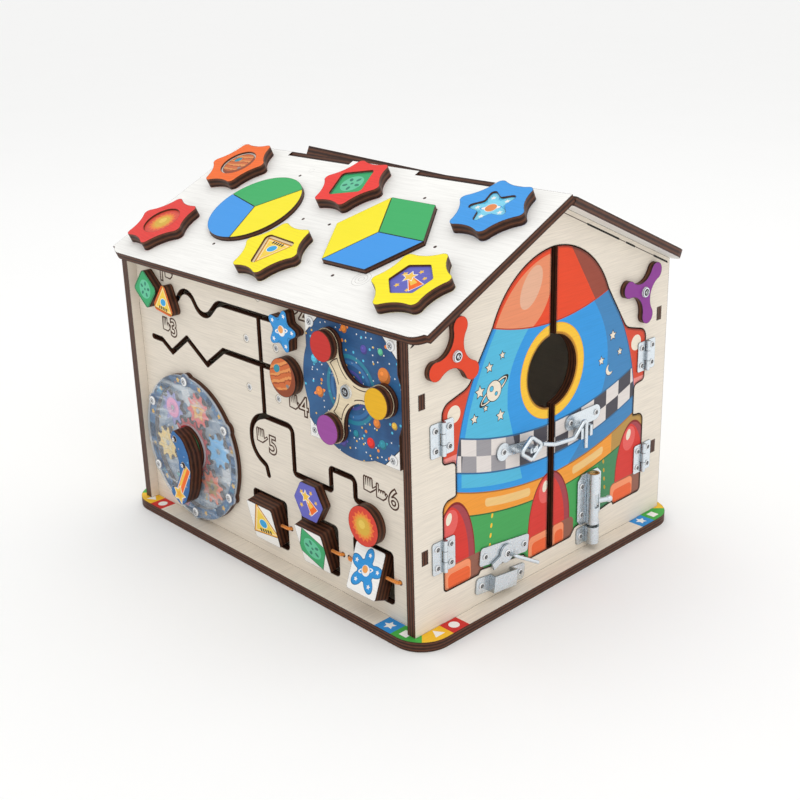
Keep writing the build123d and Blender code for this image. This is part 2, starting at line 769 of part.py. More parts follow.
# ---------------------------------------------------------------- hinges
def leaf(axis_x, side, middle, knuckles):
    """One hinge leaf with its knuckles; side is +1 for a leaf that lies right of the axis."""
    half_leaf = hinge_width / 2
    plate = RectangleRounded(2 * half_leaf, hinge_length, hinge_corner_radius)
    plate &= Pos(side * half_leaf / 2, 0) * Rectangle(half_leaf, hinge_length)
    solid = prism(plate, 0, hinge_leaf)
    share = hinge_length / 3
    for k in range(3):
        low = -hinge_length / 2 + k * share
        barrel = Rot(-90, 0, 0) * Cylinder(knuckle_radius, share - knuckle_gap)
        barrel = Pos(0, low + share / 2, knuckle_depth) * barrel
        if k in knuckles:
            web = Pos(side * knuckle_radius / 2, low + share / 2, knuckle_depth / 2) * Box(
                knuckle_radius, share - knuckle_gap, knuckle_depth
            )
            solid += barrel + web
        else:
            relief = Box(2 * (knuckle_radius + knuckle_gap), share + knuckle_gap, 4 * knuckle_depth)
            solid -= Pos(0, low + share / 2, knuckle_depth) * relief
    for s in (-1, 1):
        spot = (side * hinge_screw_across, s * hinge_screw_along)
        solid -= rod(screw_shank_radius + shank_fit, 0, hinge_leaf, spot)
    return Pos(axis_x, middle, 0) * solid


def hinge_bore(axis_x, middle, radius):
    return Pos(axis_x, middle, knuckle_depth) * Rot(-90, 0, 0) * Cylinder(radius, hinge_length)


fixed_leaves = []
left_leaves = []
right_leaves = []
for middle in hinge_heights:
    for axis_x, side, moving in ((left_axis, 1, left_leaves), (right_axis, -1, right_leaves)):
        fixed = leaf(axis_x, -side, middle, (0, 2)) + hinge_bore(axis_x, middle, hinge_pin_radius)
        fixed_leaves.append(gable_face * fixed)
        swinging = leaf(axis_x, side, middle, (1,))
        swinging -= hinge_bore(axis_x, middle, hinge_pin_radius + running_fit)
        moving.append(gable_face * swinging)
pieces["gable_hinge_leaves"] = group(fixed_leaves)
pieces["left_door_hinge_leaves"] = group(left_leaves)
pieces["right_door_hinge_leaves"] = group(right_leaves)


# ---------------------------------------------------------------- gate hook
def tube(points, radius, bend, close=False):
    path = FilletPolyline(*points, radius=bend, close=close)
    return sweep(Plane(origin=path @ 0, z_dir=path % 0) * Circle(radius), path=path)


ring_x, ring_z = hook_ring_centre
ring_low = hook_depth - hook_wire_radius
ring_high = hook_depth + hook_wire_radius
staple_direction = degrees(atan2(ring_z - staple_pad_centre[1], ring_x - staple_pad_centre[0]))
staple_run = hypot(ring_x - staple_pad_centre[0], ring_z - staple_pad_centre[1])
strap = Pos(*staple_pad_centre) * Rot(0, 0, staple_direction) * (
    Pos(staple_run / 2, 0) * Rectangle(staple_run + staple_post_width, staple_width)
)
staple = prism(strap + Pos(*staple_pad_centre) * Circle(staple_pad_radius), 0, staple_thickness)
post = Pos(ring_x, ring_z) * RectangleRounded(staple_post_width, staple_post_height, staple_post_corner)
post_top = ring_high + 1.0
staple += prism(post, staple_thickness, post_top)
staple += rod(staple_rivet_radius, post_top, post_top + staple_rivet_height, hook_ring_centre)
staple -= rod(screw_shank_radius + shank_fit, 0, staple_thickness, staple_pad_centre)
pieces["hook_staple"] = gable_face * staple

peg_x, peg_top = hook_peg_x, hook_peg_top
ring_points = [
    (ring_x + hook_ring_half_width, ring_z, hook_depth),
    (ring_x, ring_z + hook_ring_half_height, hook_depth),
    (ring_x - hook_ring_half_width, ring_z, hook_depth),
    (ring_x, ring_z - hook_ring_half_height, hook_depth),
]
hook = tube(ring_points, hook_wire_radius, hook_tight_bend, close=True)
hook += tube(
    [ring_points[0]]
    + [(x, z, hook_depth) for x, z in hook_sag_points]
    + [(peg_x, peg_top, hook_depth), (peg_x, peg_top - hook_peg_length, hook_depth)],
    hook_wire_radius,
    [hook_bend_radius, hook_bend_radius, hook_tight_bend],
)
pieces["gate_hook"] = gable_face * hook

catch_outline = RectangleRounded(catch_plate_length, catch_plate_height, catch_plate_height / 2 - 0.2)
catch = prism(Pos(*catch_centre) * catch_outline, 0, catch_plate_thickness)
peg_swing = hypot(peg_x - ring_x, peg_top - hook_peg_length - ring_z) - (peg_x - ring_x)
rib_room = hook_wire_radius + 3 * rest_gap
rib_left = peg_x - rib_room - catch_rib_width / 2
rib_right = peg_x + rib_room + peg_swing + catch_rib_width / 2
rib_middle = catch_centre[1] - catch_rib_drop
for rib_x in (rib_left, rib_right):
    rib = Pos(rib_x, rib_middle) * Rectangle(catch_rib_width, catch_rib_length)
    catch += prism(rib, 0, catch_rib_rise)
catch_bridge = Pos((rib_left + rib_right) / 2, rib_middle) * Rectangle(
    rib_right - rib_left + catch_rib_width, catch_rib_length
)
catch += prism(catch_bridge, 0, catch_plate_thickness + catch_bridge_rise)
for spot in catch_screws:
    catch -= rod(screw_shank_radius + shank_fit, 0, catch_plate_thickness, spot)
pieces["hook_catch"] = gable_face * catch

# ---------------------------------------------------------------- barrel bolt
bore_radius = bolt_rod_radius + rest_gap
barrel_radius = bore_radius + bolt_barrel_wall
rod_depth = rest_gap + bolt_plate_thickness + bore_radius


def barrel(low, high, plate_depth, radius):
    """The barrel over the rod, between two heights and above the plate's underside."""
    length = high - low
    shell = Pos(bolt_x, low + length / 2, rod_depth) * Rot(-90, 0, 0) * Cylinder(radius, length)
    below = Pos(bolt_x, low + length / 2, plate_depth - radius) * Box(4 * radius, 2 * length, 2 * radius)
    return shell - below


def rod_bore(low, high, radius):
    return Pos(bolt_x, (low + high) / 2, rod_depth) * Rot(-90, 0, 0) * Cylinder(radius, high - low + 2)


housing_length = bolt_plate_top - bolt_plate_bottom
housing_middle = (bolt_x, (bolt_plate_top + bolt_plate_bottom) / 2)
housing_outline = Pos(*housing_middle) * Rectangle(bolt_plate_width, housing_length)
housing_outline = chamfer(housing_outline.vertices(), bolt_plate_chamfer)
housing = prism(housing_outline, rest_gap, plate_seat)
housing += barrel(bolt_plate_bottom, bolt_plate_top, rest_gap, barrel_radius)
housing -= rod_bore(bolt_plate_bottom, bolt_plate_top, bore_radius)
arm_slot_low = bolt_arm_height - bolt_travel_down - bolt_arm_radius - rest_gap
arm_slot_high = bolt_arm_height + bolt_travel_up + bolt_arm_radius + rest_gap
arm_slot = Pos(barrel_radius, (arm_slot_low + arm_slot_high) / 2, 0) * Box(
    2 * barrel_radius, arm_slot_high - arm_slot_low, 2 * (bolt_arm_radius + rest_gap)
)
housing -= Pos(bolt_x, 0, rod_depth) * Rot(0, -bolt_arm_angle, 0) * arm_slot
housing -= Pos(bolt_x, bolt_arm_height + bolt_window_height / 2 - 4, rod_depth + barrel_radius) * Box(
    barrel_radius, bolt_window_height, barrel_radius
)
for spot in bolt_screws:
    housing -= rod(screw_shank_radius + shank_fit, 0, plate_seat, spot)
pieces["bolt_housing"] = gable_face * housing

rod_length = bolt_rod_top - bolt_rod_bottom
bolt = Pos(bolt_x, bolt_rod_bottom + rod_length / 2, rod_depth) * Rot(-90, 0, 0) * Cylinder(
    bolt_rod_radius, rod_length
)
arm = Pos(bolt_arm_reach / 2, 0, 0) * Rot(0, 90, 0) * Cylinder(bolt_arm_radius, bolt_arm_reach)
arm += Pos(bolt_arm_reach, 0, 0) * Sphere(bolt_arm_radius + 0.8)
bolt += Pos(bolt_x, bolt_arm_height, rod_depth) * Rot(0, -bolt_arm_angle, 0) * arm
pieces["sliding_bolt"] = gable_face * bolt

keeper_length = keeper_top - keeper_bottom
keeper_outline = Pos(bolt_x, keeper_bottom + keeper_length / 2) * RectangleRounded(
    bolt_plate_width, keeper_length, latch_corner_radius
)
keeper = prism(keeper_outline, 0, bolt_plate_thickness)
keeper_bore_radius = bore_radius + keeper_bore_room
keeper += barrel(keeper_bottom, keeper_top, 0, keeper_bore_radius + bolt_barrel_wall)
keeper -= rod_bore(keeper_bottom, keeper_top, keeper_bore_radius)
for spot in bolt_keeper_screws:
    keeper -= rod(screw_shank_radius + shank_fit, 0, bolt_plate_thickness, spot)


# ---------------------------------------------------------------- turn latch
def tilted(centre, shape):
    return Pos(*centre) * Rot(0, 0, latch_tilt) * shape


latch_outline = RectangleRounded(latch_plate_length, latch_plate_height, latch_corner_radius)
latch_plate = prism(tilted(latch_centre, latch_outline), 0, latch_thickness)
for spot in latch_screws:
    latch_plate -= rod(screw_shank_radius + shank_fit, 0, latch_thickness, spot)
latch_plate -= rod(latch_pin_radius + shank_fit, 0, latch_thickness, latch_pivot)
pieces["latch_plate"] = gable_face * latch_plate

rotor_low = latch_thickness + rest_gap
rotor_high = rotor_low + latch_rotor_thickness
tongue = Rot(0, 0, latch_tongue_angle) * (
    Pos(latch_tongue_length / 2, 0) * Rectangle(latch_tongue_length, latch_tongue_width)
)
lever = prism(Circle(latch_rotor_radius) + tongue, rotor_low, rotor_high)
lever_end = polar(latch_lever_reach, latch_lever_angle)
lever_root = polar(latch_rotor_radius * 0.7, latch_lever_angle)
lever += tube(
    [
        (lever_root[0], lever_root[1], rotor_low + 0.2),
        (lever_root[0] * 1.05, lever_root[1] * 1.05, rotor_high + 4.0),
        (lever_end[0], lever_end[1], rotor_high + latch_lever_rise + 4.0),
    ],
    latch_lever_wire,
    2.2,
)
lever -= rod(latch_pin_radius + running_fit, 0, rotor_high)
pieces["latch_lever"] = gable_face * Pos(*latch_pivot) * lever

latch_pin = pivot_pin(
    latch_pin_radius, -gable_ply, rotor_high + rest_gap, latch_pin_radius + 1.2, 0.8, latch_pivot
)
pieces["left_door_screws"] = group(list(pieces["left_door_screws"].solids()) + [gable_face * latch_pin])

arch_span = Rectangle(latch_arch_length, latch_keeper_height)
arch_space = Rectangle(latch_arch_length - 4.0, latch_keeper_height + 2)
arch = prism(arch_span, 0, latch_arch_rise)
arch -= prism(arch_space, 0, latch_arch_rise - latch_thickness)
latch_keeper_outline = RectangleRounded(latch_keeper_length, latch_keeper_height, latch_corner_radius)
latch_keeper = prism(latch_keeper_outline - arch_space, 0, latch_thickness) + arch
latch_keeper = tilted(latch_keeper_centre, latch_keeper)
for spot in latch_keeper_screws:
    latch_keeper -= rod(screw_shank_radius + shank_fit, 0, latch_thickness, spot)
pieces["latch_keepers"] = group([gable_face * keeper, gable_face * latch_keeper])


# ---------------------------------------------------------------- knobs
def knob(place, turn):
    outline = lobed(3, knob_lobe_distance, knob_lobe_radius, knob_waist, turn)
    outline -= Circle(knob_pin_radius + running_fit)
    return gable_face * Pos(*place) * prism(outline, rest_gap, rest_gap + knob_ply)


pieces["orange_knob"] = knob(orange_knob_place, orange_knob_turn)
pieces["purple_knob"] = knob(purple_knob_place, purple_knob_turn)

# ---------------------------------------------------------------- roof
block_recesses = {
    "orange_block": Circle(17.0),
    "red_block": regular_outline(21.5, 4, 67, 3.5),
    "blue_block": star_outline(23.5, 10.5, 56, 3.0),
    "scarlet_block": Circle(17.0),
    "amber_block": regular_outline(24.0, 3, -90, 4.0),
    "yellow_block": regular_outline(18.0, 6, 0, 2.0),
}


def roof_outline(full_stretches):
    """A roof panel seen square on: full length at the ridge on the given stretches, set back elsewhere."""
    set_back = ridge_reach - ridge_setback - ridge_fit
    outline = Pos(0, set_back / 2) * Rectangle(2 * roof_half_length, set_back)
    corners = outline.vertices().sort_by(Axis.Y)[:2]
    outline = fillet(corners, eave_corner_radius)
    for low, high in full_stretches:
        strip = Rectangle(high - low, set_back, align=(Align.MIN, Align.MIN))
        outline += Pos(low, ridge_reach - set_back) * strip
    return outline


def left_full_stretches():
    edges = [-roof_half_length]
    for low, high in ridge_tab_stretches:
        edges += [low - ridge_fit, high + ridge_fit]
    edges.append(roof_half_length)
    return list(zip(edges[0::2], edges[1::2]))


left_roof = prism(roof_outline(left_full_stretches()), 0, roof_ply)
seat_low = roof_ply - puzzle_seat_depth
hexagon_points = [polar(hexagon_puzzle_radius, 60 * k) for k in range(6)]
hexagon = Polygon(*hexagon_points, align=None)
left_roof -= prism(Pos(*circle_puzzle_centre) * Circle(circle_puzzle_radius), seat_low, roof_ply + 1)
left_roof -= prism(Pos(*hexagon_puzzle_centre) * hexagon, seat_low, roof_ply + 1)
for u, v, turn in block_places.values():
    left_roof -= rod(block_pin_radius + shank_fit, 0, roof_ply, (u, v))
pieces["left_roof_panel"] = left_slope * left_roof

mirrored_stretches = [(-high, -low) for low, high in ridge_tab_stretches]
right_roof = prism(roof_outline(mirrored_stretches), 0, roof_ply)
board_outline = Rectangle(slope_board_length, slope_board_height, align=(Align.MAX, Align.MAX))
slope_board = prism(
    Pos(*slope_board_corner) * Rot(0, 0, slope_board_tilt) * board_outline, roof_ply, roof_ply + slope_board_ply
)
pieces["right_roof_panel"] = group([right_slope * right_roof, right_slope * slope_board])

block_low = roof_ply + rest_gap
block_high = block_low + block_thickness
pin_top = roof_ply + block_pin_rise
for name, (u, v, turn) in block_places.items():
    block = prism(lobed(6, block_tip_distance, block_tip_radius, block_waist, 0), block_low, block_high)
    block -= prism(block_recesses[name], block_high - block_recess_depth, block_high)
    block -= rod(block_pin_radius + running_fit, block_low, pin_top + block_pin_clearance)
    pieces[name] = left_slope * Pos(u, v) * Rot(0, 0, turn) * block

piece_low = seat_low
piece_high = seat_low + puzzle_ply
for k, name in enumerate(("green_sector", "blue_sector", "yellow_sector")):
    start = circle_puzzle_turn + 120 * k
    reach = 3 * circle_puzzle_radius
    wedge = Polygon((0, 0), polar(reach, start), polar(reach, start + 60), polar(reach, start + 120), align=None)
    sector = offset(Circle(circle_puzzle_radius) & wedge, amount=-puzzle_gap)
    pieces[name] = left_slope * Pos(*circle_puzzle_centre) * prism(sector, piece_low, piece_high)
for k, name in enumerate(("green_rhombus", "yellow_rhombus", "blue_rhombus")):
    corners = [(0, 0)] + [hexagon_points[(2 * k + j) % 6] for j in range(3)]
    rhombus = offset(Polygon(*corners, align=None), amount=-puzzle_gap)
    pieces[name] = left_slope * Pos(*hexagon_puzzle_centre) * prism(rhombus, piece_low, piece_high)

# ---------------------------------------------------------------- pivot pins and house screws
pins = [maze_face * rod(gear_pin_radius, -wall_ply, gear_high, axle) for axle in gear_axles]
pins.append(
    maze_face
    * pivot_pin(spinner_pin_radius, -wall_ply, arms_high + rest_gap, 2 * spinner_pin_radius, 1.6, spinner_centre)
)
for place in (orange_knob_place, purple_knob_place):
    knob_top = 2 * rest_gap + knob_ply
    pins.append(
        gable_face * pivot_pin(knob_pin_radius, -gable_ply, knob_top, 2 * knob_pin_radius, 1.4, place)
    )
for u, v, turn in block_places.values():
    pins.append(left_slope * rod(block_pin_radius, 0, pin_top, (u, v)))
pieces["pivot_pins"] = group(pins)

house_screws = [maze_face * long_screw(place, seat) for place, seat in maze_screw_places]
house_screws += [maze_face * flush_screw(place) for place in wall_screw_places]
house_screws += [gable_face * s for s in screws_at(gable_places)]
pieces["house_screws"] = group(house_screws)

# ---------------------------------------------------------------- write every piece
for name, piece in pieces.items():
    export_step(piece, f"parts/{name}.step")
print(len(pieces), "pieces; cord bends", cord_bend_radius, "mm")
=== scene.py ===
import json
import math
import random

import bmesh
import bpy
from mathutils import Matrix, Vector


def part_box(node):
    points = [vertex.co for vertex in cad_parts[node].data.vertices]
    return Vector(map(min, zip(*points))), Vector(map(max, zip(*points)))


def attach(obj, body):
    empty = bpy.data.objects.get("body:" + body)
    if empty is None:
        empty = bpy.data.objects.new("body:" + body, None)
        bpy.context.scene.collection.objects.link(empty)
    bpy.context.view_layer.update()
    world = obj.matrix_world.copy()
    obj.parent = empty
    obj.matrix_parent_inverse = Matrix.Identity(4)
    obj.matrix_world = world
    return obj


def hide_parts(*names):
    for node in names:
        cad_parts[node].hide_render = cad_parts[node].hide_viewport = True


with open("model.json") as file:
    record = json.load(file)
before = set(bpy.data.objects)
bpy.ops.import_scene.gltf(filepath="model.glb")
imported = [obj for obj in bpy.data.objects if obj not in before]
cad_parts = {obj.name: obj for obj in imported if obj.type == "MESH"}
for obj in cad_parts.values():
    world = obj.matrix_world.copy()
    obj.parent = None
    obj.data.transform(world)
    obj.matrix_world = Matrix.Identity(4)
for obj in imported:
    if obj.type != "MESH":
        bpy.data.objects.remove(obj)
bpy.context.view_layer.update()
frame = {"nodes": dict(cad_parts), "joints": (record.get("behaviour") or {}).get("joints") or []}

# The looks of the wooden busy house, built around its CAD model. Blender's metres and the model's own axes:
# +Z up, doors on the -Y gable, maze wall on the -X side. Places on a face are millimetres.

nodes = frame["nodes"]
joints = {joint["name"]: joint for joint in frame["joints"]}
chance = random.Random(7)
MM = 0.001

# -------- named sizes, in millimetres
door_middle = 1
porthole_height = 165.8
porthole_ring = (28, 37.2)
sheet_ply = 2.6
tab_line = 3.9
base_strip = 16
base_square = 17
roof_layer = 3.5
block_layer = 4.2
tile_layer = 3.5
knob_layer = 4.5
slider_layer = 4
star_slider_shift = (0.9, -2.2)
plate_half = 48.5
disc_level = 8.8
button_level = -8.5
hub_level = 5
backing_radius = 58
screw_height = 1.3
corner_step = 0.002
round_error = 0.1
least_depth = 3
farthest_top = 40
cap_margin = 0.5
recess_depth = 0.5
digit_size = 21.75
digit_spread = 0.5
engraved_line = 0.85
engraved_level = -0.48

# -------- shares, from 0 to 1
painted_grain = 0.3
edge_scorch = 0.85
print_gloss = 0.22
wood_gloss = 0.4
sharp_edge = (0.002, 0.03)

# -------- camera, floor and lights, in metres, degrees and watts
camera_place = (-0.6741, -0.7204, 0.4815)
camera_turn = (70.244, 1.849, -43.049)
camera_lens = 54.11
camera_shift = (0.028, -0.0293)
camera_clips = (0.01, 300)
floor_half = 60
floor_drop = 0.0005
world_strength = 0.95
lamp_target = (0, 0, 0.12)
lamps = (("key", (-0.5, -1.7, 1.7), 1.2, 4),
         ("fill", (1.6, -1, 1), 1.6, 1),
         ("top", (0.1, 0.3, 2.2), 1.8, 5))


# -------- colours
def rgb(code):
    """A colour written as on the web, as Blender's linear numbers."""
    channels = [int(code[k:k + 2], 16) / 255 for k in (0, 2, 4)]
    return tuple(c / 12.92 if c <= 0.04045 else ((c + 0.055) / 1.055) ** 2.4 for c in channels) + (1,)


def shade(colour, factor):
    """A colour, given by its code or its channels, made darker or lighter."""
    channels = rgb(colour) if isinstance(colour, str) else colour
    return tuple(channel * factor for channel in channels[:3]) + (1,)


WOOD, WALL_WOOD, ROOF_WOOD, BURNT, BURNT_DARK = "ece2d3 e9dfd0 f8f7f3 3c2218 1a0e09".split()
BURNT_LIGHT, BURNT_PALE, INK, CREAM, WHITE, SKY_BLUE = "573526 7d4d33 1d1715 efe3cf f4f2ee 2f98e0".split()
PALE_BLUE, DEEP_BLUE, NOSE_RED, NOSE_PALE, NOSE_GLOW = "52b9dc 3f84ba e8461c ea8f66 e6b193".split()
NOSE_DARK, FIN_RED, FIN_PINK, RING_YELLOW, RING_SHADE = "984634 d9492d ec8c84 fac534 e09a22".split()
CHECK_LIGHT, CHECK_DARK, CHECK_PALE, COLLAR, COLLAR_GLOW = "e2dad5 4b4850 9d9a9e f29c35 f0c680".split()
COLLAR_DARK, GREEN, GREEN_DARK, BOOSTER, BOOSTER_GLOW = "b88f48 45a557 44885a d8372e e6605a".split()
BOOSTER_DARK, FOOT, FOOT_GLOW, FOOT_DARK, SPACE = "a5414a ee6633 f6966a 93604f 356a9c".split()
SPACE_DARK, TEAL, VIOLET, ORANGE_PLANET, STAR_YELLOW = "244a78 2f8fa3 5a52a8 ee8a3a f3c34a".split()
BLOCK_ORANGE, BLOCK_RED, BLOCK_BLUE, BLOCK_SCARLET = "f46a12 ec3128 3a9ae6 e4322a".split()
BLOCK_YELLOW, PUZZLE_GREEN, PUZZLE_BLUE, PUZZLE_YELLOW = "fbe914 36ad62 3a97e6 f6e61a".split()
COMET_VIOLET, RHOMBUS_GREEN, RHOMBUS_PALE, RHOMBUS_SPOT = "6565bd 33a86a 63c59b 2b7c66".split()
STAR_BLUE, STAR_PALE, STEEL, GEAR_RED = "2f93d8 59c5e6 e2eaf0 c21f22".split()


# -------- faces of the house
def heading(angle):
    """The cosine and sine of an angle in degrees."""
    return math.cos(math.radians(angle)), math.sin(math.radians(angle))


def around(x, y, reach, angle):
    """The place at a distance and an angle, in degrees, from another place."""
    c, s = heading(angle)
    return x + reach * c, y + reach * s


class Face:
    """A flat side of the object. Places on it are millimetres right, up and out from its origin."""

    def __init__(self, origin, right, up):
        self.origin = Vector(origin)
        self.right = Vector(right).normalized()
        self.up = Vector(up).normalized()
        self.out = self.right.cross(self.up)

    def at(self, x, y, out=0):
        return self.origin + MM * (x * self.right + y * self.up + out * self.out)

    def turned(self, x=0, y=0, angle=0, out=0):
        """The face with its origin moved to a place on it and turned there."""
        c, s = heading(angle)
        return Face(self.at(x, y, out), c * self.right + s * self.up, c * self.up - s * self.right)

    def tipped_at(self, point, angle):
        """A face through a point of the row frame, tipped about this one's right axis."""
        c, s = heading(angle)
        return Face(point, self.right, self.up * c + self.out * s)

    def flat(self, point):
        """A point of the row frame as millimetres right, up and out."""
        away = (Vector(point) - self.origin) / MM
        return Vector((away.dot(self.right), away.dot(self.up), away.dot(self.out)))

    def matrix(self):
        turn = Matrix((self.right, self.up, self.out)).transposed()
        return Matrix.Translation(self.origin) @ turn.to_4x4()


base_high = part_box("base_board")[1]
gable_low, gable_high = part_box("front_gable")
wall_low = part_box("maze_wall")[0]
roof_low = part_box("left_roof_panel")[0]
floor_level = base_high.z
roof_normal = Vector(joints["orange_block_turn"]["axis"]).normalized()
roof_rise = Vector((roof_normal.z, 0, -roof_normal.x))

base_face = Face((0, 0, floor_level), (1, 0, 0), (0, 1, 0))
gable_face = Face((0, gable_low.y, floor_level), (1, 0, 0), (0, 0, 1))
back_face = Face((0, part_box("back_gable")[1].y, floor_level), (-1, 0, 0), (0, 0, 1))
maze_face = Face((wall_low.x, 0, floor_level), (0, -1, 0), (0, 0, 1))
right_face = Face((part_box("right_wall")[1].x, 0, floor_level), (0, 1, 0), (0, 0, 1))
left_slope = Face((gable_low.x, 0, roof_low.z), (0, -1, 0), roof_rise)
right_slope = Face((-gable_low.x, 0, roof_low.z), (0, 1, 0), (-roof_rise.x, 0, roof_rise.z))


def pivot(joint):
    return Vector(joints[joint]["pos_m"])


def corners(node):
    return [vertex.co for vertex in nodes[node].data.vertices]


def extent(points, face):
    """The lowest and the highest millimetres of points right, up and out from a face's origin."""
    places = [face.flat(point) for point in points]
    return [[end(place[k] for place in places) for k in range(3)] for end in (min, max)]


# -------- numbers that vary over a surface
def feed(tree, value, socket):
    """Gives a node's input a field, another node's output, a colour's code or a plain value."""
    if isinstance(value, Field):
        value = value.socket
    if isinstance(value, bpy.types.NodeSocket):
        tree.links.new(value, socket)
    else:
        socket.default_value = rgb(value) if isinstance(value, str) else value


def math_node(tree, operation, *values):
    node = tree.nodes.new("ShaderNodeMath")
    node.operation = operation
    for socket, value in zip(node.inputs, values):
        feed(tree, value, socket)
    return Field(tree, node.outputs[0])


def worked(operation):
    """A method of Field that does one operation of the math node."""
    def method(self, *others):
        return math_node(self.tree, operation, self, *others)
    return method


class Field:
    """A number over a surface: the output of a node, with arithmetic that adds more nodes."""

    def __init__(self, tree, socket):
        self.tree = tree
        self.socket = socket

    __add__ = worked("ADD")
    __sub__ = worked("SUBTRACT")
    __mul__ = worked("MULTIPLY")
    __truediv__ = worked("DIVIDE")
    __abs__ = worked("ABSOLUTE")
    __lt__ = worked("LESS_THAN")
    __gt__ = worked("GREATER_THAN")
    __and__ = worked("MINIMUM")
    __or__ = worked("MAXIMUM")
    floor = worked("FLOOR")
    wrapped = worked("FLOORED_MODULO")
    sine = worked("SINE")
    cosine = worked("COSINE")
    arctan2 = worked("ARCTAN2")

    def __rsub__(self, other):
        return math_node(self.tree, "SUBTRACT", other, self)

    def squared(self):
        return self * self

    def between(self, low, high):
        return (self > low) & (self < high)

    def ramp(self, low, high):
        """0 at low and below, 1 at high and above."""
        node = self.tree.nodes.new("ShaderNodeMapRange")
        for name, value in (("Value", self), ("From Min", low), ("From Max", high)):
            feed(self.tree, value, node.inputs[name])
        return Field(self.tree, node.outputs[0])


class Paint:
    """A material whose colour is laid on in layers. x, y and out are millimetres on its face."""

    def __init__(self, name, face, colour):
        self.material = bpy.data.materials.new(name)
        self.material.use_nodes = True
        self.tree = self.material.node_tree
        self.tree.nodes.clear()
        self.shader = self.node("BsdfPrincipled")
        self.node("OutputMaterial", Surface=self.shader.outputs[0])
        places = self.node("TexCoord").outputs
        self.place = places["Object"]
        self.face = face
        self.colour = colour
        self.where = None
        self.x, self.y, self.out = [self.along(way) for way in (face.right, face.up, face.out)]
        self.facing = self.dot(places["Normal"], face.out)

    def node(self, kind, **inputs):
        """A new node of the material, with its inputs given by name."""
        node = self.tree.nodes.new("ShaderNode" + kind)
        for name, value in inputs.items():
            feed(self.tree, value, node.inputs[name])
        return node

    def give(self, name, value):
        """One of the surface's own values, such as its roughness."""
        feed(self.tree, value, self.shader.inputs[name])

    def field(self, socket):
        return Field(self.tree, socket)

    def vector_node(self, operation, *values):
        node = self.node("VectorMath")
        node.operation = operation
        for socket, value in zip(node.inputs, values):
            feed(self.tree, value, socket)
        return node.outputs

    def dot(self, vector, direction):
        return self.field(self.vector_node("DOT_PRODUCT", vector, direction)["Value"])

    def along(self, direction):
        away = self.vector_node("SUBTRACT", self.place, self.face.origin)["Vector"]
        return self.dot(away, direction / MM)

    def length(self, x, y):
        flat = self.node("CombineXYZ", X=x, Y=y).outputs[0]
        return self.field(self.vector_node("LENGTH", flat)["Value"])

    def grid(self, x_scale, y_scale, z_scale):
        """A texture place: the face's own millimetres, each with its own scale."""
        x, y, z = self.x * x_scale, self.y * y_scale, self.out * z_scale
        return self.node("CombineXYZ", X=x, Y=y, Z=z).outputs[0]

    def noise(self, x_scale, y_scale, z_scale, detail=3, distortion=0):
        places = self.grid(x_scale, y_scale, z_scale)
        node = self.node("TexNoise", Vector=places, Scale=1, Detail=detail, Distortion=distortion)
        return self.field(node.outputs["Fac"])

    def cells(self, size):
        """Distance to the nearest of scattered points, in cells, and a random number for each cell."""
        node = self.node("TexVoronoi", Vector=self.grid(1 / size, 1 / size, 0), Scale=1)
        node.voronoi_dimensions = "2D"
        split = self.node("SeparateColor", Color=node.outputs["Color"])
        return self.field(node.outputs["Distance"]), self.field(split.outputs[0])

    def mix(self, amount, first, second):
        node = self.node("Mix")
        node.data_type = "RGBA"
        for number, value in ((0, amount), (6, first), (7, second)):
            feed(self.tree, value, node.inputs[number])
        return node.outputs[2]

    def lay(self, mask, colour):
        """A layer of colour where the mask is 1, within the part of the surface that is being painted."""
        if self.where is not None:
            mask = mask * self.where
        self.colour = self.mix(mask, self.colour, colour)

    def flood(self, colour, amount=1):
        self.lay(self.x * 0 + amount, colour)

    def fill(self, shape, colour, line=0, line_colour=INK):
        """A shape's inside, with a line of the given width round it."""
        if line:
            self.lay(shape < line, line_colour)
        self.lay(shape < 0, colour)

    def near_edges(self, radius):
        """1 on the surface next to a sharp edge."""
        bevel = self.node("Bevel", Radius=radius * MM)
        bevel.samples = 4
        flat = self.node("NewGeometry").outputs["True Normal"]
        return (1 - self.dot(bevel.outputs[0], flat)).ramp(*sharp_edge)

    def bump(self, height, strength, distance=0.12):
        node = self.node("Bump", Strength=strength, Distance=distance * MM, Height=height)
        self.give("Normal", node.outputs[0])

    def done(self, roughness):
        self.give("Base Color", self.colour)
        self.give("Roughness", roughness)
        return self.material


# -------- shapes: the distance to an outline in millimetres, below 0 inside
def local(p, x, y, turn=0):
    """The paint's own x and y, moved to a place and turned there."""
    dx, dy = p.x - x, p.y - y
    if not turn:
        return dx, dy
    c, s = heading(turn)
    return dx * c + dy * s, dy * c - dx * s


def disc(p, x, y, radius):
    return p.length(*local(p, x, y)) - radius


def oval(p, x, y, half_width, half_height, turn=0):
    dx, dy = local(p, x, y, turn)
    return (p.length(dx / half_width, dy / half_height) - 1) * min(half_width, half_height)


def block(p, x, y, width, height, turn=0, corner=0):
    dx, dy = local(p, x, y, turn)
    dx = abs(dx) - (width / 2 - corner)
    dy = abs(dy) - (height / 2 - corner)
    if not corner:
        return dx | dy
    return p.length(dx | 0, dy | 0) + ((dx | dy) & 0) - corner


def folded(p, dx, dy, count, turn):
    """The angle from the nearest of count equal directions, in radians, and the distance from the middle."""
    step = 2 * math.pi / count
    angle = dy.arctan2(dx) - math.radians(turn) + step / 2
    return abs(angle.wrapped(step) - step / 2), p.length(dx, dy)


def star(p, x, y, radius, waist=0.5, turn=90, points=5):
    """A star, given by its tips' radius and the share of it that its waist has."""
    angle, far = folded(p, *local(p, x, y), points, turn)
    half = math.pi / points
    tip = Vector((radius, 0))
    dent = Vector((radius * waist * math.cos(half), radius * waist * math.sin(half)))
    side = (dent - tip).normalized()
    across = far * angle.cosine() * side.y - far * angle.sine() * side.x
    return across - tip.x * side.y


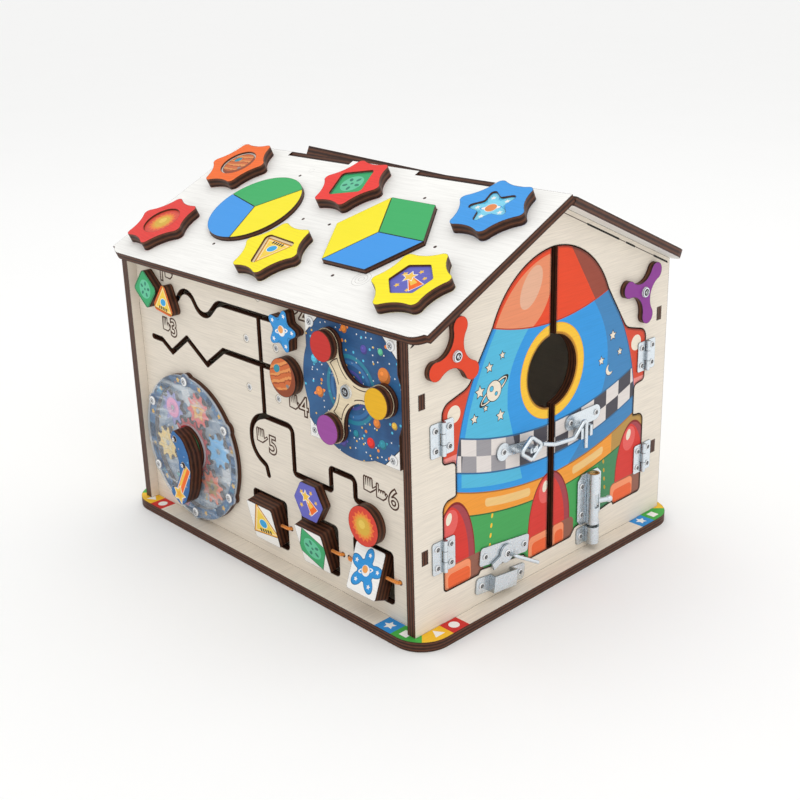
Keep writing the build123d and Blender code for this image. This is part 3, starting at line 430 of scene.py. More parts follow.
def lobes(p, x, y, radius, turn=90, points=5):
    """A fat star with rounded arms, like a starfish."""
    angle, far = folded(p, *local(p, x, y), points, turn)
    along, across = far * angle.cosine(), far * angle.sine()
    inside = p.length((along - 0.6 * radius) / (0.4 * radius), across / (0.25 * radius))
    arm = (inside - 1) * (0.25 * radius)
    return arm & (far - 0.5 * radius)


def polygon(p, x, y, radius, sides, turn=0):
    """A regular polygon, given by its corners' radius."""
    angle, far = folded(p, *local(p, x, y), sides, turn + 180 / sides)
    return far * angle.cosine() - radius * math.cos(math.pi / sides)


def bar(p, x0, y0, x1, y1, width):
    """A straight stroke with square ends."""
    length = math.hypot(x1 - x0, y1 - y0)
    turn = math.degrees(math.atan2(y1 - y0, x1 - x0))
    return block(p, (x0 + x1) / 2, (y0 + y1) / 2, length, width, turn)


def ring(p, x, y, radius, width):
    return abs(disc(p, x, y, radius)) - width / 2


# -------- plywood
def burnt_sides(p, ply):
    """The laser-cut sides: scorched brown with a dark line at each glue joint."""
    soot = p.noise(0.22, 0.22, 0.5, 4)
    sides = p.mix(soot.ramp(0.3, 0.75), BURNT, BURNT_LIGHT)
    layer = abs((p.out + 40 * ply).wrapped(ply) / ply - 0.5)
    sides = p.mix((layer < 0.1) * 0.5, sides, BURNT_PALE)
    sides = p.mix(layer.ramp(0.3, 0.42) * 0.8, sides, BURNT_DARK)
    p.lay(abs(p.facing) < 0.5, sides)


def plywood(name, face, tone, art=None, top=0, ply=sheet_ply, sheen=0.52, painted=False, burn=0.7,
            scorch=BURNT, grain=1):
    """A laser-cut board: fine grain along its face, an art function's prints, scorched edges and sides.

    An art function may ask for top, which is how far the board stands out of its face.
    """
    p = Paint(name, face, tone)
    fibres = p.noise(0.035, 1.1, 0.6, 4, 0.4)
    figure = p.noise(0.012, 0.07, 0.05, 3, 1.2)
    pores = p.noise(0.25, 3, 1, 2)
    strength = painted_grain if painted else grain
    p.lay(fibres.ramp(0.35, 0.75) * (0.5 * strength), shade(tone, 0.86))
    p.lay(figure.ramp(0.45, 0.75) * (0.45 * strength), shade(tone, 0.88))
    p.lay(pores.ramp(0.62, 0.8) * (0.22 * strength), shade(tone, 0.62))
    if art:
        p.top = top
        p.where = p.facing > 0.5
        art(p)
        p.where = None
        p.lay(fibres.ramp(0.4, 0.75) * 0.1, INK)
    p.lay(p.near_edges(burn) * edge_scorch, scorch)
    burnt_sides(p, ply)
    roughness = fibres * 0.16 + (sheen - 0.06)
    p.give("Specular IOR Level", print_gloss if painted or art else wood_gloss)
    p.bump(fibres * 0.6 + pores * 0.4, 0.22)
    return p.done(roughness)


def coat(node, material):
    slots = nodes[node].data.materials
    slots.clear()
    slots.append(material)


def paint_node(node, face, tone, art=None, top=0, ply=sheet_ply, sheen=0.4):
    """Coats a node with painted plywood."""
    coat(node, plywood(node + "_paint", face, tone, art, top, ply, sheen, painted=True))


def print_node(node, face, art, ply=sheet_ply, sheen=0.42):
    """Coats a node with plywood that carries a print."""
    coat(node, plywood(node + "_print", face, WOOD, art, ply=ply, sheen=sheen))


# -------- prints on the doors
def door_art(p):
    """A plain toy rocket: red nose, blue body with a chequered band, orange collar and red boosters."""
    mid = p.x - door_middle
    wide = abs(mid)
    bend = (mid / 100).squared()
    z = p.y
    body_half = 107 - ((z - 105) | 0).squared() * 0.00317
    nose_level = bend * 24 + 204.8
    collar_top = bend * 18 + 80.5
    collar_foot = bend * 15 + 64.5
    right_shade = p.x - (70 - (z - 160).squared() * 0.0078)

    p.lay(z > 0, FIN_RED)
    p.lay((z < 131) & (z > 100), FIN_PINK)
    for side in (-1, 1):
        p.fill(disc(p, side * 107.5 + 0.5, 162, 6.6), CREAM)

    body = (wide < body_half) & (z > collar_top) & (z < nose_level)
    p.lay(body, SKY_BLUE)
    glow_edge = ((z - 160) | 0).squared() * 0.0107 + ((150 - z) | 0) * 0.28 - 50.2
    glow = (p.x < glow_edge) & (wide < body_half - 6) & (z > bend * 16 + 86.4)
    p.lay(body & glow, PALE_BLUE)
    p.lay(body & (right_shade > 0), DEEP_BLUE)
    chequers(p, mid, wide, bend, z, body, glow)

    nose = z > nose_level
    p.lay(nose, NOSE_RED)
    p.lay(nose & (disc(p, 5.1, 182.5, 75.8) < 0) & (disc(p, -41.7, 242.4, 40.9) < 0), NOSE_PALE)
    p.fill(oval(p, -24.5, 236.7, 17.3, 9.8, 56), NOSE_GLOW)
    p.lay(nose & (p.x * 0.84 + z * 0.543 > 158.3), NOSE_DARK)
    p.lay(abs(z - nose_level) < 0.5, shade(NOSE_RED, 0.6))
    p.lay((abs(wide - body_half) < 0.5) & (z > collar_top) & (z < 186), shade(DEEP_BLUE, 0.5))

    p.fill(disc(p, door_middle + 0.7, porthole_height, porthole_ring[1]), RING_YELLOW, 0.5, RING_SHADE)
    p.fill(disc(p, door_middle + 0.7, porthole_height, porthole_ring[0] + 2.6), RING_SHADE)

    skirt = z < collar_foot
    p.lay(skirt, GREEN)
    p.lay(skirt & (p.x > 62), GREEN_DARK)
    for side, ink in ((-1, RING_YELLOW), (1, shade(RING_YELLOW, 0.6))):
        for k, level in enumerate((69, 61, 53, 45)):
            p.fill(oval(p, side * (68 + 0.9 * k) + 1, level, 1.1, 2, side * 12), ink)
    collar(p, z, collar_top, collar_foot)
    boosters(p)
    motif(p)


def chequers(p, mid, wide, bend, z, body, glow):
    """Two rows of squares that bend up towards the rocket's sides."""
    from_top = (bend * 17.5 + 123.5 - z) / 13.5
    row = from_top.floor()
    column = ((wide - 5) / 16).floor()
    odd = (column + row + (mid < 0)).wrapped(2) > 0.5
    band = body & (from_top > 0) & (from_top < 2)
    p.lay(band, CHECK_LIGHT)
    p.lay(band & odd, CHECK_DARK)
    p.lay(band & odd & glow, CHECK_PALE)
    p.lay(body & (abs(from_top) < 0.05), shade(DEEP_BLUE, 0.6))
    p.lay(body & (abs(from_top - 2) < 0.05), shade(DEEP_BLUE, 0.6))


def collar(p, z, top, foot):
    """The orange belt with two rounded highlights."""
    collar_zone = (z < top) & (z > foot)
    p.lay(collar_zone, COLLAR)
    level = z - (top + foot) / 2 - 0.4
    for middle, half in ((-49, 23), (48, 17)):
        glow = p.length((abs(p.x - middle) - half) | 0, (abs(level) - 0.8) | 0) - 2.7
        p.fill(glow, COLLAR_GLOW)
    p.lay(collar_zone & (p.x > 79), COLLAR_DARK)
    p.lay(abs(z - top) < 0.6, shade(COLLAR, 0.45))
    p.lay(abs(z - foot) < 0.6, shade(GREEN, 0.4))


def boosters(p):
    """Three red boosters with orange feet: left, middle and right."""
    hulls = ((-108, 45, 21, 47), (0, 34, 25, 47.5), (108, 45, 22, 47))
    for x, low, half, tall in hulls:
        shape = oval(p, x, low, half, tall)
        p.fill(shape, BOOSTER, 0.9, shade(BOOSTER, 0.35))
        p.lay((shape < 0) & (oval(p, x - 6, low, half, tall) > 0), BOOSTER_DARK)
        p.fill(oval(p, x - 4.5, low + 0.72 * tall, 8.2, 10.5, -14), BOOSTER_GLOW)
        p.fill(oval(p, x - 5.5, low + 0.8 * tall, 2.9, 4.8, -16), CREAM)
    shadows = ((-98, 34, 42, 21), (6, 24, 50, 20), (101, 34, 43, 21))
    for x, y, width, height in shadows:
        p.fill(block(p, x, y, width, height, 0, 5), FOOT_DARK)
    for x, y, width in ((-105, 34, 28), (-12.5, 24, 24), (11, 24, 15), (95, 34, 30)):
        p.fill(block(p, x, y, width, 19, 0, 4.5), FOOT_GLOW, 0.5, shade(FOOT, 0.6))
        p.fill(block(p, x + 1.5, y - 2.5, width - 4.5, 12.5, 0, 4), FOOT)


def motif(p):
    """A small ringed planet and stars, drawn in cream with a dark line."""
    for x, y, size in ((-80, 171, 4.6), (-70, 187, 3.6), (-56, 193, 2.6), (-86, 152, 3.4),
                       (-58, 147, 4.2), (-74, 157, 2.2)):
        p.fill(star(p, x, y, size), CREAM, 0.55)
    p.fill(oval(p, -65, 168, 15.5, 4.4, 28), CREAM, 0.6)
    p.fill(oval(p, -65, 168, 12.8, 2.6, 28), PALE_BLUE, 0.4)
    p.fill(disc(p, -65, 168, 7.6), CREAM, 0.6)
    p.fill(disc(p, -67.6, 170.2, 1.9), PALE_BLUE, 0.4)
    p.fill(disc(p, -62.6, 165.4, 1.3), PALE_BLUE, 0.4)
    for x, y, size in ((76, 176, 4), (86, 160, 3), (62, 158, 3.4)):
        p.fill(star(p, x, y, size), CREAM, 0.5)
    p.fill(disc(p, 73, 148, 4.6), CREAM, 0.5)
    p.fill(disc(p, 75.2, 149.6, 4.2), DEEP_BLUE)


# -------- prints of the small pieces
def space(p, x, y, reach, planets):
    """A dark blue sky with scattered stars, and round planets about a place, some of them with a ring."""
    clouds = p.noise(0.03, 0.03, 0, 3, 0.6)
    p.flood(p.mix(clouds.ramp(0.35, 0.7), SPACE_DARK, SPACE))
    dots = ((5.5, 0.7, WHITE), (7.3, 0.8, STAR_YELLOW), (9.1, 0.7, STAR_PALE), (11.7, 0.8, ORANGE_PLANET))
    for size, share, ink in dots:
        far, pick = p.cells(size)
        p.lay((far < 0.11) & (pick > share), ink)
    for angle, distance, radius, colour, ringed in planets:
        cx, cy = around(x, y, reach * distance, angle)
        shape = disc(p, cx, cy, radius)
        lit = disc(p, cx - 0.3 * radius, cy + 0.3 * radius, radius * 0.95)
        if ringed:
            p.fill(oval(p, cx, cy, radius * 1.7, radius * 0.42, 24), shade(colour, 1.25), 0.3, SPACE_DARK)
        p.fill(shape, colour, 0.4, SPACE_DARK)
        p.lay((shape < 0) & (lit > 0), shade(colour, 0.6))
        p.fill(disc(p, cx - 0.35 * radius, cy + 0.25 * radius, radius * 0.22), shade(colour, 1.35))


def spinner_plate_art(p):
    """Space with rings round the spinner, and white corners for the screws."""
    planets = ((28, 0.86, 6.2, ORANGE_PLANET, False), (66, 0.8, 3.4, VIOLET, False),
               (97, 0.98, 3.2, ORANGE_PLANET, True), (160, 0.92, 3.6, STAR_PALE, False),
               (196, 0.8, 4.2, ORANGE_PLANET, True), (-62, 0.88, 4, BLOCK_RED, False),
               (-84, 0.72, 3, TEAL, False), (-36, 0.7, 3.6, ORANGE_PLANET, False),
               (-47, 1, 3.6, TEAL, True), (-104, 0.98, 3.4, VIOLET, True),
               (48, 1.04, 2.6, RHOMBUS_PALE, False), (-20, 1.02, 2.8, STAR_YELLOW, False))
    x, y = maze_place("spinner_turn")
    space(p, x, y, 46, planets)
    for radius, width, ink in ((25, 3, TEAL), (20.5, 3, shade(SPACE, 1.3)), (14, 2.4, VIOLET)):
        p.lay((ring(p, x, y, radius, width) < 0) * 0.75, ink)
    for sx in (-1, 1):
        for sy in (-1, 1):
            outwards = (p.x - (x + sx * plate_half)) * sx + (p.y - (y + sy * plate_half)) * sy
            p.lay(outwards > -15.8, INK)
            p.lay(outwards > -14.9, WHITE)


def maze_place(joint):
    return maze_face.flat(pivot(joint)).xy


def gear_ring_art(p):
    """Misty space with yellow stars, and darker spots round the six screws."""
    planets = [(24 + 60 * k + (11 if k % 2 else -9), 1, 2.4 + 0.5 * (k % 3), ink, k % 2 == 0)
               for k, ink in enumerate((ORANGE_PLANET, VIOLET, STAR_PALE, RHOMBUS_PALE, BLOCK_RED, TEAL))]
    x, y = maze_place("crank_turn")
    space(p, x, y, 60.5, planets)
    p.flood("6d92b8", 0.5)
    for k in range(12):
        p.fill(star(p, *around(x, y, 60.5, 30 * k + 12), 3, 0.5, 30 * k), STAR_YELLOW)
    for k in range(6):
        p.fill(disc(p, *around(x, y, 61.2, 30 + 60 * k), 5.6), "41699a")


def gear_backing_art(p):
    """The maze wall behind the gear box's cover: a misty blue sky with pale clouds and stars."""
    x, y = maze_place("crank_turn")
    sky = disc(p, x, y, backing_radius) < 0
    clouds = p.noise(0.055, 0.055, 0, 4, 1.4)
    p.lay(sky, p.mix(clouds.ramp(0.36, 0.66), "5d7fa3", "c9d3dc"))
    for size, share, ink in ((7, 0.7, WHITE), (11, 0.72, STAR_YELLOW)):
        far, pick = p.cells(size)
        p.lay(sky & (far < 0.12) & (pick > share), ink)
    for angle, distance in ((100, 44), (-20, 47)):
        p.fill(star(p, *around(x, y, distance, angle), 10, 0.6, 72), "e4e8ec")


def crank_art(p):
    """A comet on blue, with the heads of the crank's own screws painted white, partly their pale zinc and
    partly a painted highlight, with a grey cross of painted shade.
    """
    x, y = maze_place("crank_turn")
    space(p, x, y, 20, ())
    p.flood("2f79bd", 0.55)
    p.fill(bar(p, x + 16, y - 10, x + 1, y - 36, 7.5), BLOCK_ORANGE, 0.7, CREAM)
    p.fill(bar(p, x + 14.5, y - 9, x - 0.5, y - 35, 2.6), STAR_YELLOW)
    p.fill(star(p, x - 0.5, y - 39, 8.4, 0.52, 72), STAR_YELLOW, 0.8, CREAM)
    p.fill(star(p, x - 0.5, y - 39, 4.6, 0.52, 72), "f2a52c")
    # Painted highlight and shade: white discs for the screw heads' shine and grey crosses for their shaded
    # recesses.
    for pin_x, pin_y, radius, _ in upright_islands("comet_crank", maze_face):
        p.fill(disc(p, pin_x, pin_y, radius + 0.4), WHITE, 0.5, "2c5079")
        p.fill(bar(p, pin_x - 0.5 * radius, pin_y, pin_x + 0.5 * radius, pin_y, 0.22 * radius), "8d8f92")
        p.fill(bar(p, pin_x, pin_y - 0.5 * radius, pin_x, pin_y + 0.5 * radius, 0.22 * radius), "8d8f92")


def rocket_print(p, size, turn):
    """A rounded yellow cone with a round window and small vents."""
    rounding = 0.16 * size
    p.fill(cone(p, 0.62 * size, turn) - rounding, "f5b53a", 0.7, "8a4a1c")
    p.fill(cone(p, 0.5 * size, turn) - rounding, "fbe9c4")
    p.fill(cone(p, 0.42 * size, turn) - rounding, "f6d24a")
    dx, dy = local(p, 0, 0, turn)
    p.fill(oval(p, 0, 0, 0.24 * size, 0.19 * size, turn + 20), "2fa3dc", 0.5, WHITE)
    for k in (-2, -1, 0, 1, 2):
        p.fill((abs(dx - 0.16 * size * k) - 0.05 * size) | (abs(dy + 0.34 * size) - 0.08 * size), INK)


def cone(p, size, turn):
    """The distance to a triangle that points up, rounded outside its corners."""
    dx, dy = local(p, 0, 0, turn)
    inner = 0.5 * size
    return (abs(dx) * 0.866 + dy * 0.5 - inner) | (0 - dy - inner)


def rhombus_print(p, size, turn):
    """A green rhombus with a paler field and dark spots."""
    p.fill(polygon(p, 0, 0, size, 4, turn), RHOMBUS_GREEN, 0.5)
    p.fill(disc(p, 0, 0, 0.52 * size), RHOMBUS_PALE)
    for k in range(5):
        angle = 72 * k + turn
        p.fill(oval(p, *around(0, 0, 0.32 * size, angle), 0.12 * size, 0.08 * size, angle), RHOMBUS_SPOT)
    p.fill(disc(p, 0, 0, 0.07 * size), RHOMBUS_SPOT)


def star_print(p, size, turn):
    """A blue star with rounded arms, a ringed planet in its middle and a small star in each arm."""
    p.fill(lobes(p, 0, 0, size, turn), STAR_BLUE, 0.55, "1d6f9c")
    p.fill(oval(p, 0, 0, 0.46 * size, 0.13 * size, turn - 62), WHITE)
    p.fill(oval(p, 0, 0, 0.37 * size, 0.07 * size, turn - 62), STAR_BLUE)
    p.fill(disc(p, 0, 0, 0.25 * size), WHITE, 0.35, STAR_BLUE)
    p.fill(disc(p, -0.05 * size, 0.05 * size, 0.17 * size), "f0a35a")
    for k in range(5):
        p.fill(star(p, *around(0, 0, 0.72 * size, turn + 72 * k), 0.12 * size, 0.5, turn), WHITE)


def pale_star_print(p, size, turn):
    """A pale blue star with a small orange planet and white stars."""
    p.fill(lobes(p, 0, 0, 0.92 * size, turn), "7fd3ee", 0.4, STAR_BLUE)
    p.fill(oval(p, 0, -0.05 * size, 0.4 * size, 0.12 * size, turn - 30), WHITE, 0.3, STAR_BLUE)
    p.fill(disc(p, 0, -0.05 * size, 0.24 * size), "e58a4e", 0.4, WHITE)
    for k in range(5):
        p.fill(star(p, *around(0, 0, 0.62 * size, turn + 72 * k), 0.13 * size, 0.5, turn), WHITE)


def planet_print(p, size, turn):
    """A banded orange planet with a teal sea."""
    ball = disc(p, 0, 0, size)
    p.fill(ball, "cf6a34", 0.3)
    swirl = local(p, 0, 0, turn)[1] + p.noise(0.12, 0.12, 0, 3, 1) * 6
    p.lay((ball < 0) & (swirl.wrapped(6.2) < 2.2), "e39452")
    p.lay((ball < 0) & (swirl.wrapped(6.2) > 5.3), "a5481f")
    p.fill(oval(p, -0.42 * size, 0.4 * size, 0.26 * size, 0.2 * size, 30), TEAL)
    p.fill(oval(p, 0.4 * size, -0.4 * size, 0.16 * size, 0.11 * size, -20), "8a8480")
    lit = disc(p, -0.25 * size, 0.25 * size, 0.98 * size)
    p.lay((ball < 0) & (lit > 0), "8f421f")


def comet_print(p, size, turn):
    """Small yellow stars and a comet on violet."""
    p.flood(COMET_VIOLET)
    stars = ((-0.5, 0.42, 0.17), (0.22, 0.55, 0.14), (-0.55, -0.3, 0.15), (0.58, 0.12, 0.13),
             (0.1, -0.62, 0.13))
    for dx, dy, share in stars:
        p.fill(star(p, dx * size, dy * size, share * size, 0.5, 60 + turn), STAR_YELLOW)
    head = (-0.2 * size, 0.25 * size)
    dx, dy = local(p, *head, turn - 48)
    for length, spread, ink, line in ((0.95, 0.26, BLOCK_ORANGE, 0.5), (0.66, 0.12, STAR_YELLOW, 0)):
        tail = (abs(dy) - dx * spread - 0.07 * size) | (dx - length * size) | (0 - dx)
        p.fill(tail, ink, line, WHITE)
    p.fill(star(p, *head, 0.32 * size, 0.5, 20 + turn), STAR_YELLOW, 0.5, WHITE)


def sun_print(p, size, turn):
    """A yellow sun with small flames on red."""
    p.fill(star(p, 0, 0, 0.78 * size, 0.8, turn, 16), "ea7434")
    p.fill(star(p, 0, 0, 0.62 * size, 0.84, turn + 11, 16), "e59a38")
    p.fill(disc(p, 0, 0, 0.44 * size), "d9ad3c")
    p.fill(disc(p, -0.08 * size, 0.08 * size, 0.22 * size), "e6c457")


def centred(drawing, size, turn, paper, sunk=False):
    """An art function that lays paper and a drawing in the middle of a piece or, if sunk, of its recess."""
    def art(p):
        if sunk:
            p.where = (p.out < p.top - recess_depth) & (p.facing > 0.5)
        p.flood(paper)
        drawing(p, size, turn)
    return art


# -------- prints of the walls, roof and base
def base_art(p):
    """Coloured squares with white shapes along the four corners of the base."""
    inner_x = base_high.x / MM - base_strip
    inner_y = base_high.y / MM - base_strip
    tones = ("2f8fd6", "45ab45", "f5c02c", "cf2f2b")
    onward, back = (0, 1, 2, 3), (3, 2, 1, 0)
    for sx, sy, order in ((-1, -1, onward), (1, -1, back), (-1, 1, back), (1, 1, onward)):
        x, y = p.x * sx - inner_x, p.y * sy - inner_y
        squares = ((y, x, -1.5), (y, x, -0.5), (x, y, -0.5), (x, y, -1.5))
        for (along, across, steps), pick in zip(squares, order):
            middle = steps * base_square
            if steps < -1:
                stretch = abs(along - middle) < base_square / 2
            else:
                stretch = along.between(-base_square, 1.1 * base_square) & (along < across)
            p.lay((across > 0) & stretch, tones[pick])
            dx, dy = (base_strip / 2, middle) if along is y else (middle, base_strip / 2)
            place = (sx * (inner_x + dx), sy * (inner_y + dy))
            shapes = (star(p, *place, 5.2), block(p, *place, 7.5, 7.5),
                      polygon(p, *place, 5.5, 3, -90 * sy), disc(p, *place, 4.2))
            p.fill(shapes[pick], WHITE)


def roof_art(p):
    """Screws sunk in the roof and two kinds of faint engraved rings."""
    screws = ((12, 88), (128, 88), (73, 138), (68, 36.5), (-78, 139), (-82, 38),
              (-20, 88))
    for x, y in screws:
        p.fill(disc(p, x, y, 0.9), INK, 0.5, BURNT_LIGHT)
    for radius in (2.4, 5, 7.6):
        p.lay((abs(oval(p, 96, 40, radius, radius)) - 0.16 < 0) * 0.45, BURNT)
    for x, y in ((-72, 148), (-32, 60), (40, 128)):
        p.lay((abs(disc(p, x, y, 2.6)) - 0.12 < 0) * 0.35, BURNT)


def gable_art(p):
    """Dark lines along both rakes: painted shade of the gap under the roof, thicker at the roof's tabs."""
    across, along = -roof_normal.x, roof_normal.z
    apex = (gable_high.z - floor_level) / MM
    for side in (-1, 1):
        dx = p.x * side
        down = (apex - p.y) * along - dx * across
        # Painted shade: a thin dark line in the gap under the roof, and thick ones at the roof's tabs.
        p.lay((abs(down - tab_line) < 0.3) & dx.between(8, 148), BURNT)
        for low, high in ((39, 80), (89, 101), (127, 147)):
            p.lay((abs(down - tab_line) < 0.75) & dx.between(low, high), INK)


# -------- other materials
def steel(name, face=gable_face, tone=STEEL, shine=0.17, metal=0.95):
    """Zinc-plated steel: faint crystals, a brushed haze and fine scratches, with painted shade on sides
    turned away from its face and along sharp edges.
    """
    p = Paint(name, face, tone)
    pick = p.cells(1.7)[1]
    haze = p.noise(0.5, 0.5, 0.5, 4)
    scratch = p.noise(0.4, 6, 2, 2, 0.3)
    p.lay(pick * 0.4, shade(tone, 0.9))
    p.lay(haze.ramp(0.5, 0.8) * 0.22, shade(tone, 0.72))
    # Painted shade: sides that turn away from the face are darkened, standing in for shading on round wires
    # and side walls.
    turned_away_shade = (1 - abs(p.facing)).ramp(0.2, 0.95)
    p.lay(turned_away_shade * 0.6, shade(tone, 0.22))
    # Painted shade: dark lines along sharp edges, standing in for contact shadows round the plates.
    p.lay(p.near_edges(0.4) * 0.75, shade(tone, 0.16))
    p.give("Metallic", metal)
    p.bump(scratch * 0.5 + haze * 0.5, 0.1, 0.06)
    return p.done(haze * 0.22 + shine)


def brass_tip(name, tone):
    """The bolt's rod: zinc plate worn through to yellow at its top end."""
    p = Paint(name, gable_face, STEEL)
    haze = p.noise(0.6, 0.6, 0.6, 4)
    worn = (p.y + haze * 3).ramp(62, 63.5)
    p.lay(haze * 0.4, shade(STEEL, 0.75))
    p.lay(worn, tone)
    p.give("Metallic", 0.9)
    p.bump(haze, 0.12, 0.08)
    return p.done(haze * 0.2 + 0.25)


def clear_sheet(name, face):
    """The gear box's acrylic cover: nearly clear, with a whitish streaky veil of painted reflection, and wipe
    marks that dull its shine.
    """
    p = Paint(name, face, "eef4f8")
    wipes_and_reflection = p.noise(0.02, 0.12, 0.1, 3, 2)
    x, y = maze_place("crank_turn")
    clean = disc(p, x, y, 0).ramp(24, 42)
    specks = p.noise(1.2, 1.2, 1.2, 2)
    edge = p.near_edges(0.6)
    # Painted reflection: a whitish tint in streaks, and the whitish haze below, stand in for the sheet's
    # reflections; the same streaks act as wipe marks in its roughness and bump.
    p.lay(wipes_and_reflection * 0.3, "cfdde6")
    p.lay(edge * 0.7, "8fb0c2")
    side = abs(p.facing) < 0.5
    haze = wipes_and_reflection.ramp(0.5, 0.74) * clean * 0.36 + specks.ramp(0.7, 0.8) * 0.12 + 0.12
    alpha = haze | (edge * 0.45) | (side * 0.5)
    p.give("Alpha", alpha)
    p.give("IOR", 1.49)
    p.give("Coat Weight", 0.3)
    p.bump(wipes_and_reflection, 0.05, 0.1)
    return p.done(wipes_and_reflection * 0.1 + 0.03)


def elastic(name, face):
    """The braided cover of the elastic cord."""
    p = Paint(name, face, "d96f10")
    strands = ((p.x * 1.9 + p.y * 2.6).sine() * (p.x * 1.9 - p.y * 2.6).sine()).ramp(-0.6, 0.6)
    fuzz = p.noise(2, 2, 2, 4)
    p.lay(strands, "f7a03a")
    p.lay(fuzz.ramp(0.55, 0.75) * 0.35, "ffc681")
    p.give("Sheen Weight", 0.4)
    p.bump(strands * 0.8 + fuzz * 0.2, 0.6, 0.2)
    return p.done(fuzz * 0.2 + 0.7)


def pale_floor():
    """A white studio floor with a faint wash."""
    p = Paint("pale_floor", base_face, "fbfbfa")
    wash = p.noise(0.004, 0.004, 0.004, 3)
    p.lay(wash * 0.25, "f4f4f3")
    return p.done(wash * 0.1 + 0.8)


def burnt_line(name, face):
    """Engraved lines: soot brown, lighter where the laser ran thin."""
    p = Paint(name, face, "2c180f")
    soot = p.noise(0.9, 0.9, 0.9, 3)
    p.lay(soot, "5f3c27")
    p.bump(soot, 0.2, 0.1)
    return p.done(soot * 0.2 + 0.7)


# -------- dressing the CAD nodes
def dress_boards():
    boards = {
        "base_board": plywood("base_wood", base_face, WOOD, base_art),
        "front_gable": plywood("front_gable_wood", gable_face, WOOD, gable_art, burn=0.9, scorch=INK),
        "back_gable": plywood("back_gable_wood", back_face, WOOD),
        "maze_wall": plywood("maze_wall_wood", maze_face, WALL_WOOD, gear_backing_art, burn=0.8,
                             scorch=BURNT_DARK),
        "right_wall": plywood("right_wall_wood", right_face, WALL_WOOD),
        "left_roof_panel": plywood("left_roof_wood", left_slope, ROOF_WOOD, roof_art, ply=roof_layer,
                                   grain=0.35),
        # Painted shade: the right slope's wood is darker than the left's, evening out the extra lamp light it
        # gets.
        "right_roof_panel": plywood("right_roof_shaded_wood", right_slope, shade(ROOF_WOOD, 0.88), ply=roof_layer,
                                    grain=0.6),
    }
    for node, wood in boards.items():
        coat(node, wood)
    doors = plywood("rocket_door_print", gable_face, WOOD, door_art, sheen=0.42, burn=3, scorch=INK)
    for node in ("left_door", "right_door"):
        coat(node, doors)


def dress_hardware():
    metal = steel("zinc_plate")
    for node in ("gable_hinge_leaves", "left_door_hinge_leaves", "right_door_hinge_leaves", "hook_staple",
                 "gate_hook", "hook_catch", "bolt_housing", "latch_keepers", "latch_plate", "latch_lever",
                 "pivot_pins"):
        coat(node, metal)
    coat("sliding_bolt", brass_tip("worn_bolt_steel", "c9a45a"))


def dress_knobs_and_spinner():
    for node, tone in (("orange_knob", "e2431f"), ("purple_knob", "8a3691")):
        paint_node(node, gable_face, tone, ply=knob_layer)
    coat("spinner_backplate", plywood("spinner_plate_print", maze_face, WOOD, spinner_plate_art, sheen=0.4))
    coat("spinner", plywood("spinner_paint", maze_face, "ead9b8", spinner_art, ply=slider_layer))


def spinner_art(p):
    """Light wood arms with an engraved line inside their outline, and three coloured discs."""
    x, y = maze_place("spinner_turn")
    turn, hub = 2.5, 9.2
    disc_reach, disc_radius = 36.6, 14
    hollow_reach, hollow_radius = 33.95, 25.75
    line = disc(p, x, y, 24.5)
    for k in range(3):
        hollow = disc(p, *around(x, y, hollow_reach, turn + 60 + 120 * k), hollow_radius)
        line = line | (0 - hollow)
    p.lay((abs(line) < 0.4) & (p.out < disc_level) & (disc(p, x, y, hub) > 0), BURNT)
    for k, ink in enumerate(("e9b21c", "c7302a", "9a4a9b")):
        place = around(x, y, disc_reach, turn + 120 * k)
        p.lay((disc(p, *place, disc_radius) < 0) & (p.out > disc_level), ink)


def gear_art(ink, cap, cap_radius, joint, pointed):
    """A gear's colour, with a paler disc or star in its middle."""
    def art(p):
        x, y = maze_place(joint)
        p.flood(ink)
        if cap:
            shape = star(p, x, y, 1.5 * cap_radius, 0.55) if pointed else disc(p, x, y, cap_radius)
            p.fill(shape, cap, 0.5, shade(cap, 0.6))
        p.fill(ring(p, x, y, 4.2, 0.4), shade(ink, 0.6))
    return art


def dress_gear_box():
    print_node("gear_ring", maze_face, gear_ring_art, sheen=0.4)
    coat("gear_cover", clear_sheet("clear_acrylic", maze_face))
    gears = (("purple_gear", "8f8fce", "ee9ac4", 9, False), ("coral_gear", "e8615a", "f3b93e", 6.6, True),
             ("blue_gear", "6fbdee", None, 0, False), ("orange_gear", "ec7444", "a8923c", 6, True),
             ("teal_gear", "6fb3ae", None, 0, False), ("yellow_gear", "eccb74", "f0d99a", 6, True))
    for node, ink, cap, cap_radius, pointed in gears:
        paint_node(node, maze_face, ink, gear_art(ink, cap, cap_radius, node + "_turn", pointed))
    paint_node("drive_gear", maze_face, GEAR_RED, drive_art)
    coat("comet_crank", plywood("crank_print", maze_face, WOOD, crank_art, sheen=0.4, ply=block_layer))


def drive_art(p):
    """A red gear under a green hub."""
    p.flood(GEAR_RED)
    p.lay(p.out > hub_level, "2f8a55")


